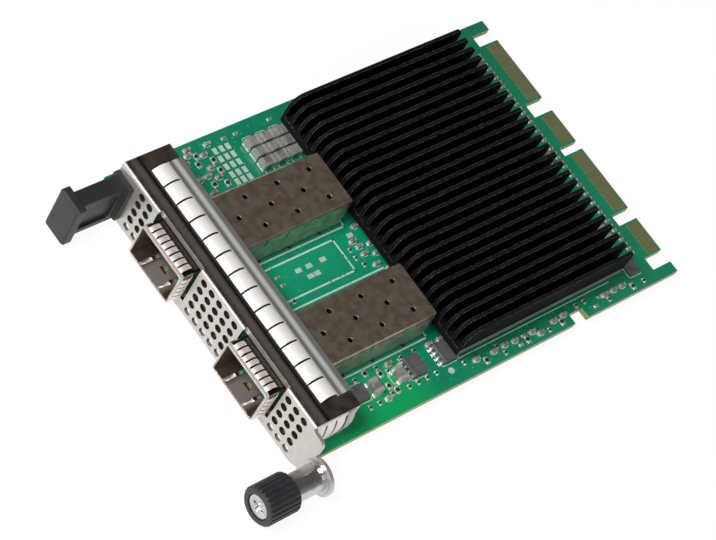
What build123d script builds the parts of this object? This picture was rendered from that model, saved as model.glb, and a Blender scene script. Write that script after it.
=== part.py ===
from build123d import *
import os

# Mezzanine network card with two pluggable transceiver ports.
# Frame: origin in the middle of the card edge, half way through the board.
# +Y is the way the card slides into its slot, +X is right seen from the faceplate, +Z is up.

# Circuit board
board_width = 76.0
board_thickness = 1.57
card_length = 115.0            # faceplate front to the end of the card edge
board_gap = 0.4                # board's front edge to the back of the faceplate
board_corner = 0.8
guide_notch_length = 4.2       # latch notch in the right edge
guide_notch_depth = 2.6
guide_notch_from_rear = 32.0
top_z = board_thickness / 2
bottom_z = -board_thickness / 2
face_y = -card_length

# Card edge
pad_pitch = 0.6
pad_width = 0.42
pad_length = 3.9
pad_thickness = 0.05
pad_from_edge = 0.5
tab_pads = (28, 14, 28, 14)
tab_margin = 0.5
tab_gaps = (3.9, 2.3, 3.1)
first_tab_x = 6.0              # from the board's left edge
tab_length = 6.0
ear_width = 2.8
edge_bevel = 0.35

# Faceplate, folded from sheet
sheet = 0.8
face_left = 3.5                # from the board's left edge
face_right_over = 1.3          # past the board's right edge
flange_right = 73.5
flange_depth = 12.6
face_height_above = 11.2       # above the board's top face
face_drop = 3.6                # below the board's top face
bend_radius = 1.1
face_corner = 5.5
face_top_corner = 1.6
port_notch_depth = 1.0         # how far each port opening cuts into the flange
port_lip = 1.4                 # lip folded down behind the notch, over the cage's roof
lug_width = 5.4
lug_length = 6.0
lug_hole = 0.85

# Perforations
vent_pitch = 2.75
vent_radius = 0.95
vent_margin = 0.35

# Ports
port_middle_x = 40.15          # half way between the two ports, from the board's left edge
port_pitch = 31.0
cage_width = 14.0
cage_height = 9.6
cage_length = 48.7
cage_reach = 4.2               # how far each cage stands out of the faceplate
cage_sheet = 0.35
cage_corner = 0.7
cage_back_bend = 1.1
port_clearance = 0.8           # cage to the edge of its opening
dimple_radius = 0.62
dimple_spread = 3.85
dimple_step = 9.05
dimple_first = 21.0            # from the cage's front
tongue_width = 5.6
tongue_length = 9.0
tongue_slot = 0.9
latch_side = 2.6
leg_width = 0.9
leg_below = 0.8
leg_count = 5
leg_hole = 0.62
leg_first_from_edge = 2.4      # first pair of legs, from the board's front edge
leg_last_from_back = 5.6       # last pair of legs, from the cage's back

# Spring collar round each cage mouth
collar_sheet = 0.15
collar_band = 0.9
collar_length = 3.7
collar_rise = 0.42
collar_pitch = 1.55
collar_finger = 1.15

# Host connectors inside the cages
connector_width = 11.4
connector_length = 9.6
connector_height = 6.0
connector_rear_gap = 0.5
connector_corner = 0.5
slot_width = 9.4
slot_height = 1.3
slot_depth = 5.5
slot_centre = 3.6
peg_radius = 0.7
peg_spread = 8.6
hole_clearance = 0.05

# Spring finger strips on the faceplate
gasket_sheet = 0.18
gasket_left = 7.4
gasket_right = 69.6
gasket_front = 4.7
gasket_back = 9.2
gasket_rise = 0.95
gasket_pitch = 4.77
gasket_slot = 0.45
side_gasket_pitch = 2.75
side_gasket_finger = 2.1
side_gasket_count = 4
side_gasket_rise = 0.7
side_gasket_low = 2.0          # above the board
side_gasket_from_front = 1.3
side_band = 1.0
gasket_clip = 1.8

# Heat sink
sink_left = 4.6
sink_width = 66.4
sink_front = 46.4              # from the faceplate's front
sink_length = 51.4
sink_top = 11.4                # above the board
base_lift = 2.9
base_thickness = 1.9
fin_count = 26
fin_thickness = 0.85
fin_front_radius = 3.2
fin_rear_radius = 1.6
foot_radius = 2.1
foot_inset_x = 5.2
foot_inset_y = 5.6
foot_bore = 0.85
foot_bore_depth = 4.0

# Screws
small_screw_radius = 0.8
small_head_radius = 1.8
small_head_height = 1.1
screw_through = 1.1
screw_spare = 0.6              # how far a screw stops short of, or goes past, what it holds
recess_share = 1.3             # cross recess of a small screw, against its head's radius

# Controller chip
chip_from_front = 73.0
substrate_side = 27.0
substrate_height = 1.1
lid_side = 22.0
lid_height = 1.4
lid_corner = 1.0
thermal_pad_side = 20.0

# Pull tab
tab_arm_left = 4.3
tab_arm_width = 3.9
tab_arm_low = -2.6             # from the board's top face
tab_arm_height = 11.4
tab_reach = 15.6
grip_thickness = 2.3
grip_width = 6.7
grip_left = 3.0
grip_height = 12.6
tab_root_thickness = 1.2
tab_root_width = 5.9
tab_screw_low = 2.9
tab_screw_pitch = 4.6
tab_screw_depth = 3.4
tab_hole_spare = 0.4           # screw holes go this much deeper than the screws
tab_pocket_depth = 0.7
tab_pocket_border = 1.5
tab_pocket_corner = 1.0
grip_round = 0.6
grip_bevel = 0.5

# Parts on the board
cap_share = 0.24               # end cap's share of a small part's length
cap_skin = 0.03
lead_lift = 0.12
lead_thickness = 0.15
lead_out = 0.45
lead_reach = 1.0
lead_share = 0.4
chip_edge = 0.15
large_part = (3.5, 2.3)        # length and width
large_height = 1.9
medium_part = (1.6, 0.8)
medium_height = 0.75
tiny_part = (1.0, 0.5)
tiny_height = 0.4
lead_chip = (4.9, 3.9)
lead_chip_height = 1.5
lead_chip_leads = 4
lead_chip_pitch = 1.27
flat_chip = (4.0, 3.2)
flat_chip_height = 0.9
inductor_side = 4.2
inductor_height = 2.1
inductor_corner = 0.5
oscillator_size = (3.2, 2.5)
oscillator_height = 0.9
pad_sheet = 0.05
light_size = (1.5, 1.0)
light_height = 0.7
light_from_front = 2.2
light_past_opening = 1.4       # first light, from the edge of the port opening
light_step = 2.2
coupling_first_x = 8.0         # row of small capacitors in front of the contacts
coupling_last_x = 68.0
coupling_pitch = 1.35
coupling_y = 106.9
grid_step = (3.4, 2.6)         # capacitors under the controller chip
grid_count = (7, 8)

# Captive thumbscrew, drawn out
screw_x = 79.9                 # axis, from the board's left edge
screw_z = 1.5                  # axis, above the board's top face
ear_radius = 4.6
ear_neck_low = -2.6            # above the board's top face
ear_neck_high = 4.2
barrel_radius = 3.2
barrel_bore = 2.5
barrel_length = 8.4
barrel_floor = 1.0
barrel_lip = 0.5
lip_radius = 2.1
ferrule_flange_radius = 3.9
ferrule_flange = 0.6
ferrule_fit = 0.05
ferrule_root = 2.9
ring_thickness = 0.4
ring_clearance = 0.1
ring_play = 0.08
shank_radius = 1.9
groove_radius = 1.45
thread_radius = 1.5
thread_bore = 1.65
tip_past_ear = 0.2
collar_behind_ring = 0.5
spring_wire = 0.34
spring_turns = 5
spring_play = 0.1
knob_radius = 4.5
knob_length = 8.4
knob_front = 16.0              # in front of the faceplate
knob_bore = 3.4
knob_cap = 1.9
knob_ribs = 24
rib_depth = 0.3
knob_edge = 0.5
disc_radius = 2.9
disc_thickness = 0.9
disc_edge = 0.2
knob_recess = 0.3              # knob's front rim stands proud of the disc
recess_length = 3.2
recess_width = 0.7
recess_depth = 0.6
knob_fit = 0.03

os.makedirs("parts", exist_ok=True)


def from_left(distance):
    """X of a point at a distance from the board's left edge."""
    return distance - board_width / 2


def from_front(distance):
    """Y of a point at a distance behind the faceplate's front."""
    return face_y + distance


def above(height):
    """Z of a point at a height above the board's top face."""
    return top_z + height


def facing_front(y):
    """Plane at y that faces forward, with X to the right and Z up."""
    return Plane.XZ.offset(-y)


def save(shape, name):
    shape.label = name
    export_step(shape, f"parts/{name}.step")


# Places that several pieces share
face_left_x = from_left(face_left)
face_right_x = board_width / 2 + face_right_over
flange_right_x = from_left(flange_right)
face_top = above(face_height_above)
face_bottom = above(-face_drop)
face_back = face_y + sheet
port_x = [from_left(port_middle_x) + side * port_pitch / 2 for side in (-1, 1)]
port_names = ("left", "right")
opening_width = cage_width + 2 * port_clearance
opening_bottom = top_z - port_clearance
cage_front = face_y - cage_reach
cage_back = cage_front + cage_length
board_front = face_back + board_gap
board_length = -board_front
sink_x = from_left(sink_left) + sink_width / 2
sink_y = from_front(sink_front) + sink_length / 2
base_bottom = above(base_lift)
base_top = base_bottom + base_thickness
foot_places = [(sink_x + i * (sink_width / 2 - foot_inset_x), sink_y + j * (sink_length / 2 - foot_inset_y))
               for i in (-1, 1) for j in (-1, 1)]
lug_y = face_y + flange_depth - lug_length / 2
lug_places = [(face_left_x + sheet + lug_width / 2, lug_y), (flange_right_x - sheet - lug_width / 2, lug_y)]
leg_first = board_front + leg_first_from_edge
leg_pitch = (cage_back - leg_last_from_back - leg_first) / (leg_count - 1)
leg_places = [(x + side * (cage_width - cage_sheet) / 2, leg_first + i * leg_pitch)
              for x in port_x for side in (-1, 1) for i in range(leg_count)]
connector_back = cage_back - cage_sheet - connector_rear_gap
connector_y = connector_back - connector_length / 2
peg_places = [(x + side * peg_spread / 2, connector_y) for x in port_x for side in (-1, 1)]
screw_axis_x = from_left(screw_x)
screw_axis_z = above(screw_z)
tab_root_left = tab_arm_left - (tab_root_width - tab_arm_width) / 2
tab_screw_x = from_left(tab_arm_left) + tab_arm_width / 2
tab_screw_heights = [above(tab_screw_low + i * tab_screw_pitch) for i in range(2)]


# Circuit board, with its card edge, latch notch and holes
tab_widths = [count * pad_pitch + 2 * tab_margin for count in tab_pads]
tab_starts = [from_left(first_tab_x)]
for width, gap in zip(tab_widths, tab_gaps):
    tab_starts.append(tab_starts[-1] + width + gap)
tab_spans = [(start, start + width) for start, width in zip(tab_starts, tab_widths)]
ear_spans = [(-board_width / 2, -board_width / 2 + ear_width), (board_width / 2 - ear_width, board_width / 2)]
solid_spans = [ear_spans[0], *tab_spans, ear_spans[1]]
gap_spans = [(left[1], right[0]) for left, right in zip(solid_spans, solid_spans[1:])]

with BuildPart() as circuit_board:
    with BuildSketch(Plane.XY.offset(bottom_z)):
        with Locations((0, board_front)):
            Rectangle(board_width, board_length, align=(Align.CENTER, Align.MIN))
        for low, high in gap_spans:
            with Locations(((low + high) / 2, 0)):
                Rectangle(high - low, 2 * tab_length, mode=Mode.SUBTRACT)
        with Locations((board_width / 2, -guide_notch_from_rear)):
            Rectangle(2 * guide_notch_depth, guide_notch_length, mode=Mode.SUBTRACT)
    extrude(amount=board_thickness)
    corners = circuit_board.edges().filter_by(Axis.Z)
    chamfer(corners.group_by(Axis.Y)[-1], edge_bevel)
    chamfer(circuit_board.edges().filter_by(Axis.X).group_by(Axis.Y)[-1], edge_bevel)
    fillet(circuit_board.edges().filter_by(Axis.Z).group_by(Axis.Y)[0], board_corner)
    with Locations(*[(x, y, top_z) for x, y in foot_places + lug_places]):
        Hole(screw_through)
    with Locations(*[(x, y, top_z) for x, y in leg_places]):
        Hole(leg_hole)
    with Locations(*[(x, y, top_z) for x, y in peg_places]):
        Hole(peg_radius + hole_clearance)
save(circuit_board.part, "circuit_board")


# Gold contacts on both faces of the card edge
pad_places = [(start + tab_margin + (i + 0.5) * pad_pitch, -pad_from_edge - pad_length / 2)
              for (start, end), count in zip(tab_spans, tab_pads) for i in range(count)]
for side, level in (("top", top_z), ("bottom", bottom_z - pad_thickness)):
    with BuildPart() as edge_contacts:
        with BuildSketch(Plane.XY.offset(level)):
            with Locations(*pad_places):
                Rectangle(pad_width, pad_length)
        extrude(amount=pad_thickness)
    save(edge_contacts.part, f"edge_contacts_{side}")


# Heat sink: base plate, lengthwise fins with rounded ends and four feet
fin_pitch = (sink_width - fin_thickness) / (fin_count - 1)
fin_gap = fin_pitch - fin_thickness
sink_roof = above(sink_top)
with BuildPart() as heat_sink:
    with BuildSketch(Plane.YZ.offset(sink_x - sink_width / 2)) as side_view:
        with Locations((sink_y, base_bottom)):
            Rectangle(sink_length, sink_roof - base_bottom, align=(Align.CENTER, Align.MIN))
        fillet(side_view.vertices().group_by(Axis.Y)[-1].sort_by(Axis.X)[0], fin_front_radius)
        fillet(side_view.vertices().group_by(Axis.Y)[-1].sort_by(Axis.X)[-1], fin_rear_radius)
    extrude(amount=sink_width)
    with BuildSketch(facing_front(sink_y)):
        with Locations((sink_x, base_top)):
            with GridLocations(fin_pitch, 0, fin_count - 1, 1):
                Rectangle(fin_gap, sink_roof - base_top, align=(Align.CENTER, Align.MIN))
    extrude(amount=sink_length, both=True, mode=Mode.SUBTRACT)
    with BuildSketch(Plane.XY.offset(top_z)):
        with Locations(*foot_places):
            Circle(foot_radius)
    extrude(amount=base_lift)
    with BuildSketch(Plane.XY.offset(top_z)):
        with Locations(*foot_places):
            Circle(foot_bore)
    extrude(amount=foot_bore_depth, mode=Mode.SUBTRACT)
save(heat_sink.part, "heat_sink")


def board_screws(places, reach):
    """Screws from under the board: low round head, cross recess and plain shank."""
    with BuildPart() as screws:
        with BuildSketch(Plane.XY.offset(bottom_z - small_head_height)):
            with Locations(*places):
                Circle(small_head_radius)
        extrude(amount=small_head_height)
        chamfer(screws.edges().group_by(Axis.Z)[0], small_head_height / 4)
        with BuildSketch(Plane.XY.offset(bottom_z)):
            with Locations(*places):
                Circle(small_screw_radius)
        extrude(amount=reach)
        with BuildSketch(Plane.XY.offset(bottom_z - small_head_height)):
            with Locations(*places):
                Rectangle(recess_share * small_head_radius, small_head_radius / 4)
                Rectangle(small_head_radius / 4, recess_share * small_head_radius)
        extrude(amount=small_head_height / 2, mode=Mode.SUBTRACT)
    return screws.part


save(board_screws(foot_places, board_thickness + foot_bore_depth - screw_spare), "heat_sink_screws")
save(board_screws(lug_places, board_thickness + sheet + screw_spare), "faceplate_screws")


# Controller chip and its thermal pad, between the board and the heat sink
chip_y = from_front(chip_from_front)
with BuildPart() as controller_chip:
    with BuildSketch(Plane.XY.offset(top_z)):
        with Locations((sink_x, chip_y)):
            Rectangle(substrate_side, substrate_side)
    extrude(amount=substrate_height)
    with BuildSketch(Plane.XY.offset(top_z + substrate_height)):
        with Locations((sink_x, chip_y)):
            RectangleRounded(lid_side, lid_side, lid_corner)
    extrude(amount=lid_height)
save(controller_chip.part, "controller_chip")

chip_top = top_z + substrate_height + lid_height
with BuildPart() as thermal_pad:
    with BuildSketch(Plane.XY.offset(chip_top)):
        with Locations((sink_x, chip_y)):
            Rectangle(thermal_pad_side, thermal_pad_side)
    extrude(amount=base_bottom - chip_top)
save(thermal_pad.part, "thermal_pad")


def cage(centre_x):
    """Folded cage of one port: open mouth, latch tongue, dimple holes and solder legs."""
    with BuildPart() as shell:
        with BuildSketch(facing_front(cage_back)) as section:
            with Locations((centre_x, top_z)):
                Rectangle(cage_width, cage_height, align=(Align.CENTER, Align.MIN))
            fillet(section.vertices(), cage_corner)
        extrude(amount=cage_length)
        roof_edge = shell.edges().filter_by(Axis.X).group_by(Axis.Y)[-1].sort_by(Axis.Z)[-1]
        chamfer(roof_edge, cage_back_bend / 2)
        with BuildSketch(facing_front(cage_back - cage_sheet)) as hollow:
            with Locations((centre_x, top_z + cage_sheet)):
                Rectangle(cage_width - 2 * cage_sheet, cage_height - 2 * cage_sheet,
                          align=(Align.CENTER, Align.MIN))
            fillet(hollow.vertices(), cage_corner - cage_sheet)
        extrude(amount=cage_length, mode=Mode.SUBTRACT)
        # The floor is left out where the host connector stands on the board.
        window = connector_length + 2 * connector_rear_gap
        with BuildSketch(Plane.XY.offset(top_z)):
            with Locations((centre_x, cage_back - cage_sheet - window / 2)):
                Rectangle(cage_width - 2 * cage_corner, window)
        extrude(amount=cage_sheet, mode=Mode.SUBTRACT)
        # The latch tongue is freed by a slot on each side and has a three-cornered window.
        with BuildSketch(Plane.XY.offset(top_z)):
            for side in (-1, 1):
                with Locations((centre_x + side * (tongue_width + tongue_slot) / 2, cage_front)):
                    Rectangle(tongue_slot, 2 * tongue_length)
            with Locations((centre_x, cage_front + tongue_length / 2)):
                RegularPolygon(latch_side / 3 ** 0.5, 3, rotation=90)
        extrude(amount=cage_sheet, mode=Mode.SUBTRACT)
        # Dimple holes in the roof, in pairs with a single one between.
        roof = top_z + cage_height
        with BuildSketch(Plane.XY.offset(roof - cage_sheet)):
            for row in range(3):
                row_y = cage_front + dimple_first + row * dimple_step
                with Locations((centre_x, row_y)):
                    Circle(dimple_radius)
                for side in (-1, 1):
                    with Locations((centre_x + side * dimple_spread, row_y + dimple_step / 2)):
                        Circle(dimple_radius)
        extrude(amount=cage_sheet, mode=Mode.SUBTRACT)
        # Legs go down through the board.
        for side in (-1, 1):
            with BuildSketch(Plane.XY.offset(bottom_z - leg_below)):
                for i in range(leg_count):
                    with Locations((centre_x + side * (cage_width - cage_sheet) / 2, leg_first + i * leg_pitch)):
                        Rectangle(cage_sheet, leg_width)
            extrude(amount=leg_below + board_thickness + cage_corner)
    return shell.part


def arched_strip(plane, ends, rise, thickness, width):
    """One spring finger: a thin arch between two points of a plane, pulled out to its width."""
    (a, b), (c, d) = ends
    length = ((c - a) ** 2 + (d - b) ** 2) ** 0.5
    normal = ((b - d) / length, (c - a) / length)
    middle = ((a + c) / 2, (b + d) / 2)

    def lifted(point, height):
        return (point[0] + normal[0] * height, point[1] + normal[1] * height)

    with BuildPart() as finger:
        with BuildSketch(plane):
            with BuildLine():
                ThreePointArc((a, b), lifted(middle, rise), (c, d))
                Line((c, d), lifted((c, d), thickness))
                ThreePointArc(lifted((c, d), thickness), lifted(middle, rise + thickness),
                              lifted((a, b), thickness))
                Line(lifted((a, b), thickness), (a, b))
            make_face()
        extrude(amount=width / 2, both=True)
    return finger.part


def cage_collar(centre_x):
    """Sleeve round a cage mouth: a plain band with a row of arched fingers on each side."""
    half = cage_width / 2
    mid_z = top_z + cage_height / 2
    band_back = cage_front + collar_band
    fingers_back = cage_front + collar_length
    across = int((cage_width - 2 * cage_corner) / collar_pitch)
    upright = int((cage_height - 2 * cage_corner) / collar_pitch)
    with BuildPart() as collar:
        with BuildSketch(facing_front(band_back)):
            with Locations((centre_x, mid_z)):
                RectangleRounded(cage_width + 2 * collar_sheet, cage_height + 2 * collar_sheet,
                                 cage_corner + collar_sheet)
                RectangleRounded(cage_width, cage_height, cage_corner, mode=Mode.SUBTRACT)
        extrude(amount=collar_band)
        for i in range(across):
            x = centre_x + (i - (across - 1) / 2) * collar_pitch
            over = arched_strip(Plane.YZ.offset(x), ((band_back - collar_sheet, top_z + cage_height),
                                (fingers_back, top_z + cage_height)), collar_rise, collar_sheet, collar_finger)
            under = arched_strip(Plane.YZ.offset(x), ((fingers_back, top_z), (band_back - collar_sheet, top_z)),
                                 collar_rise, collar_sheet, collar_finger)
            add(over)
            add(under)
        for i in range(upright):
            z = mid_z + (i - (upright - 1) / 2) * collar_pitch
            right = arched_strip(Plane.XY.offset(z), ((centre_x + half, fingers_back),
                                 (centre_x + half, band_back - collar_sheet)), collar_rise, collar_sheet,
                                 collar_finger)
            left = arched_strip(Plane.XY.offset(z), ((centre_x - half, band_back - collar_sheet),
                                (centre_x - half, fingers_back)), collar_rise, collar_sheet, collar_finger)
            add(right)
            add(left)
    return collar.part


def host_connector(centre_x):
    """Board connector at the back of a cage, with the slot that takes the module's card edge."""
    with BuildPart() as connector:
        with BuildSketch(facing_front(connector_back)) as block:
            with Locations((centre_x, top_z)):
                Rectangle(connector_width, connector_height, align=(Align.CENTER, Align.MIN))
            fillet(block.vertices().group_by(Axis.Y)[-1], connector_corner)
        extrude(amount=connector_length)
        with BuildSketch(facing_front(connector_back - connector_length)):
            with Locations((centre_x, top_z + slot_centre)):
                Rectangle(slot_width, slot_height)
        extrude(amount=-slot_depth, mode=Mode.SUBTRACT)
        with BuildSketch(Plane.XY.offset(bottom_z)):
            for side in (-1, 1):
                with Locations((centre_x + side * peg_spread / 2, connector_y)):
                    Circle(peg_radius)
        extrude(amount=board_thickness)
    return connector.part


for name, x in zip(port_names, port_x):
    save(cage(x), f"{name}_cage")
    save(cage_collar(x), f"{name}_cage_collar")
    save(host_connector(x), f"{name}_connector")


# Faceplate: front wall and top flange bent from one sheet, side walls, lugs and the screw ear
sheet_back = facing_front(face_back)
bend_start = face_top - bend_radius
with BuildPart() as faceplate:
    with BuildSketch(Plane.YZ.offset(face_left_x)) as fold:
        with Locations((face_y, face_top)):
            Rectangle(sheet, 2 * bend_radius, align=(Align.MIN, Align.MAX))
            Rectangle(flange_depth, sheet, align=(Align.MIN, Align.MAX))
        fillet(fold.vertices().group_by(Axis.Y)[-1].sort_by(Axis.X)[0], bend_radius)
    extrude(amount=flange_right_x - face_left_x)
    # The front wall is round at its lower right corner and runs on into the ear.
    with BuildSketch(sheet_back) as wall:
        with Locations((face_left_x, face_bottom)):
            Rectangle(face_right_x - face_left_x, bend_start - face_bottom, align=(Align.MIN, Align.MIN))
        fillet(wall.vertices().group_by(Axis.X)[-1].sort_by(Axis.Y)[0], face_corner)
        fillet(wall.vertices().group_by(Axis.X)[-1].sort_by(Axis.Y)[-1], face_top_corner)
        with Locations((screw_axis_x, above((ear_neck_low + ear_neck_high) / 2))):
            Rectangle(screw_axis_x - flange_right_x, ear_neck_high - ear_neck_low,
                      align=(Align.MAX, Align.CENTER))
        with Locations((screw_axis_x, screw_axis_z)):
            Circle(ear_radius)
    extrude(amount=sheet)
    # Side walls stand on the board and carry the lugs.
    for wall_x in (face_left_x, flange_right_x - sheet):
        with BuildSketch(Plane.XY.offset(top_z)):
            with Locations((wall_x, face_y + sheet / 2)):
                Rectangle(sheet, flange_depth - sheet / 2, align=(Align.MIN, Align.MIN))
        extrude(amount=face_top - sheet / 2 - top_z)
    with BuildSketch(Plane.XY.offset(top_z)):
        with Locations(*lug_places):
            Rectangle(lug_width, lug_length)
            Circle(lug_hole, mode=Mode.SUBTRACT)
    extrude(amount=sheet)
    # Port openings run up through the bend into the flange.
    with BuildSketch(sheet_back):
        for x in port_x:
            with Locations((x, opening_bottom)):
                Rectangle(opening_width, face_top - opening_bottom, align=(Align.CENTER, Align.MIN))
    extrude(amount=sheet, mode=Mode.SUBTRACT)
    with BuildSketch(Plane.XY.offset(bend_start)):
        for x in port_x:
            with Locations((x, face_y)):
                Rectangle(opening_width, port_notch_depth, align=(Align.CENTER, Align.MIN))
    extrude(amount=bend_radius, mode=Mode.SUBTRACT)
    # Behind each notch the flange is folded down into a short lip.
    with BuildSketch(Plane.XY.offset(face_top)):
        for x in port_x:
            with Locations((x, face_y + port_notch_depth)):
                Rectangle(opening_width, sheet, align=(Align.CENTER, Align.MIN))
    extrude(amount=-port_lip)
    # Vent holes fill the bays beside and between the ports.
    bays = [(from_left(tab_root_left) + tab_root_width, port_x[0] - opening_width / 2),
            (port_x[0] + opening_width / 2, port_x[1] - opening_width / 2),
            (port_x[1] + opening_width / 2, flange_right_x - sheet - vent_margin)]
    vent_border = 2 * (vent_margin + vent_radius)
    rows = 1 + int((face_top - sheet - face_bottom - vent_border) / vent_pitch)
    with BuildSketch(sheet_back):
        for low, high in bays:
            columns = 1 + int((high - low - vent_border) / vent_pitch)
            with Locations(((low + high) / 2, (face_top + face_bottom) / 2)):
                with GridLocations(vent_pitch, vent_pitch, columns, rows):
                    Circle(vent_radius)
        # Holes for the pull tab's screws and for the ferrule.
        with Locations(*[(tab_screw_x, z) for z in tab_screw_heights]):
            Circle(screw_through)
        with Locations((screw_axis_x, screw_axis_z)):
            Circle(ferrule_root + ferrule_fit)
    extrude(amount=sheet, mode=Mode.SUBTRACT)
save(faceplate.part, "faceplate")


# Spring fingers that ground the faceplate: one strip on the flange and one on each side wall
with BuildPart() as top_gasket:
    strip_start = from_left(gasket_left)
    strip_length = gasket_right - gasket_left
    flange_end = face_y + flange_depth
    clip_z = face_top - sheet - gasket_sheet
    with BuildSketch(Plane.YZ.offset(strip_start)):
        with Locations((from_front(gasket_back), face_top)):
            Rectangle(flange_end + gasket_sheet - from_front(gasket_back), gasket_sheet,
                      align=(Align.MIN, Align.MIN))
        with Locations((flange_end, clip_z)):
            Rectangle(gasket_sheet, face_top + gasket_sheet - clip_z, align=(Align.MIN, Align.MIN))
        with Locations((flange_end + gasket_sheet, clip_z)):
            Rectangle(gasket_clip, gasket_sheet, align=(Align.MAX, Align.MIN))
    extrude(amount=strip_length)
    finger_count = int(strip_length / gasket_pitch)
    for i in range(finger_count):
        finger_x = strip_start + strip_length / 2 + (i - (finger_count - 1) / 2) * gasket_pitch
        add(arched_strip(Plane.YZ.offset(finger_x), ((from_front(gasket_front), face_top),
                         (from_front(gasket_back) + gasket_sheet, face_top)), gasket_rise, gasket_sheet,
                         gasket_pitch - gasket_slot))
save(top_gasket.part, "top_gasket")


def side_gasket(wall_x, side):
    """Upright spring fingers outside a side wall, joined by a band at the top and one at the bottom."""
    low = above(side_gasket_low)
    high = face_top - bend_radius
    start = from_front(side_gasket_from_front)
    length = (side_gasket_count - 1) * side_gasket_pitch + side_gasket_finger
    with BuildPart() as gasket:
        with BuildSketch(Plane.YZ.offset(wall_x)):
            for z in (low, high):
                with Locations((start, z)):
                    Rectangle(length, side_band, align=(Align.MIN, Align.CENTER))
        extrude(amount=side * gasket_sheet)
        for i in range(side_gasket_count):
            finger_y = start + side_gasket_finger / 2 + i * side_gasket_pitch
            ends = ((wall_x, high), (wall_x, low))
            if side < 0:
                ends = (ends[1], ends[0])
            add(arched_strip(facing_front(finger_y), ends, side_gasket_rise, gasket_sheet, side_gasket_finger))
    return gasket.part


save(side_gasket(face_left_x, -1), "left_gasket")
save(side_gasket(flange_right_x, 1), "right_gasket")


# Pull tab: foot against the faceplate, arm with a pocket on its right, wide grip at the end
arm_x = from_left(tab_arm_left)
arm_z = above(tab_arm_low)
tab_end = face_y - tab_reach
with BuildPart() as pull_tab:
    with BuildSketch(facing_front(face_y)) as tab_foot:
        with Locations((from_left(tab_root_left), arm_z)):
            Rectangle(tab_root_width, tab_arm_height, align=(Align.MIN, Align.MIN))
        fillet(tab_foot.vertices(), grip_round)
    extrude(amount=tab_root_thickness)
    with BuildSketch(facing_front(face_y)):
        with Locations((arm_x, arm_z)):
            Rectangle(tab_arm_width, tab_arm_height, align=(Align.MIN, Align.MIN))
    extrude(amount=tab_reach - grip_thickness / 2)
    with BuildSketch(facing_front(tab_end + grip_thickness)) as grip:
        with Locations((from_left(grip_left), arm_z)):
            Rectangle(grip_width, grip_height, align=(Align.MIN, Align.MIN))
        fillet(grip.vertices(), grip_round)
    extrude(amount=grip_thickness)
    chamfer(pull_tab.faces().sort_by(Axis.Y)[0].edges(), grip_bevel)
    pocket_back = face_y - tab_root_thickness - tab_pocket_border
    pocket_front = tab_end + grip_thickness + tab_pocket_border
    pocket_height = tab_arm_height - 2 * tab_pocket_border
    with BuildSketch(Plane.YZ.offset(arm_x + tab_arm_width)):
        with Locations(((pocket_back + pocket_front) / 2, arm_z + tab_arm_height / 2)):
            RectangleRounded(pocket_back - pocket_front, pocket_height, tab_pocket_corner)
    extrude(amount=-tab_pocket_depth, mode=Mode.SUBTRACT)
    with BuildSketch(facing_front(face_y)):
        with Locations(*[(tab_screw_x, z) for z in tab_screw_heights]):
            Circle(small_screw_radius + hole_clearance)
    extrude(amount=tab_screw_depth + tab_hole_spare, mode=Mode.SUBTRACT)
save(pull_tab.part, "pull_tab")

with BuildPart() as pull_tab_screws:
    with BuildSketch(facing_front(face_back)):
        with Locations(*[(tab_screw_x, z) for z in tab_screw_heights]):
            Circle(small_head_radius)
    extrude(amount=-small_head_height)
    chamfer(pull_tab_screws.edges().group_by(Axis.Y)[-1], small_head_height / 4)
    with BuildSketch(facing_front(face_back)):
        with Locations(*[(tab_screw_x, z) for z in tab_screw_heights]):
            Circle(small_screw_radius)
    extrude(amount=sheet + tab_screw_depth)
save(pull_tab_screws.part, "pull_tab_screws")


# Captive thumbscrew, drawn out: every piece is turned about one axis along Y
def turned(outer, inner, start, end):
    """Disc or tube on the screw's axis between two distances behind the faceplate's front."""
    with BuildPart() as ring:
        with BuildSketch(facing_front(face_y + end)):
            with Locations((screw_axis_x, screw_axis_z)):
                Circle(outer)
                if inner > 0:
                    Circle(inner, mode=Mode.SUBTRACT)
        extrude(amount=end - start)
    return ring.part


ring_front = -barrel_length + barrel_lip + ring_play
ring_back = ring_front + ring_thickness
collar_start = ring_back + ring_play
collar_end = collar_start + collar_behind_ring
disc_front = -knob_front + knob_recess
disc_back = disc_front + disc_thickness
knob_back = -knob_front + knob_length
cap_back = -knob_front + knob_cap
tip = sheet + tip_past_ear

with BuildPart() as screw_ferrule:
    add(turned(ferrule_flange_radius, thread_bore, -ferrule_flange, 0))
    add(turned(ferrule_root, thread_bore, -barrel_floor, sheet))
    add(turned(barrel_radius, thread_bore, -barrel_floor, -ferrule_flange))
    add(turned(barrel_radius, barrel_bore, -barrel_length, -barrel_floor))
    add(turned(barrel_radius, lip_radius, -barrel_length, -barrel_length + barrel_lip))
save(screw_ferrule.part, "screw_ferrule")

with BuildPart() as retaining_ring:
    add(turned(barrel_bore - ring_clearance, groove_radius + ring_play, ring_front, ring_back))
save(retaining_ring.part, "retaining_ring")

with BuildPart() as thumbscrew_shaft:
    add(turned(disc_radius, 0, disc_front, disc_back))
    add(turned(shank_radius, 0, disc_back, ring_front - ring_play))
    add(turned(groove_radius, 0, ring_front - ring_play, collar_start))
    add(turned(shank_radius, 0, collar_start, collar_end))
    add(turned(thread_radius, 0, collar_end, tip))
    chamfer(thumbscrew_shaft.edges().group_by(Axis.Y)[-1], thread_radius / 4)
    chamfer(thumbscrew_shaft.edges().group_by(Axis.Y)[0], disc_edge)
    with BuildSketch(facing_front(face_y + disc_front)):
        with Locations((screw_axis_x, screw_axis_z)):
            Rectangle(recess_length, recess_width)
            Rectangle(recess_width, recess_length)
    extrude(amount=-recess_depth, mode=Mode.SUBTRACT)
save(thumbscrew_shaft.part, "thumbscrew_shaft")

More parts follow.
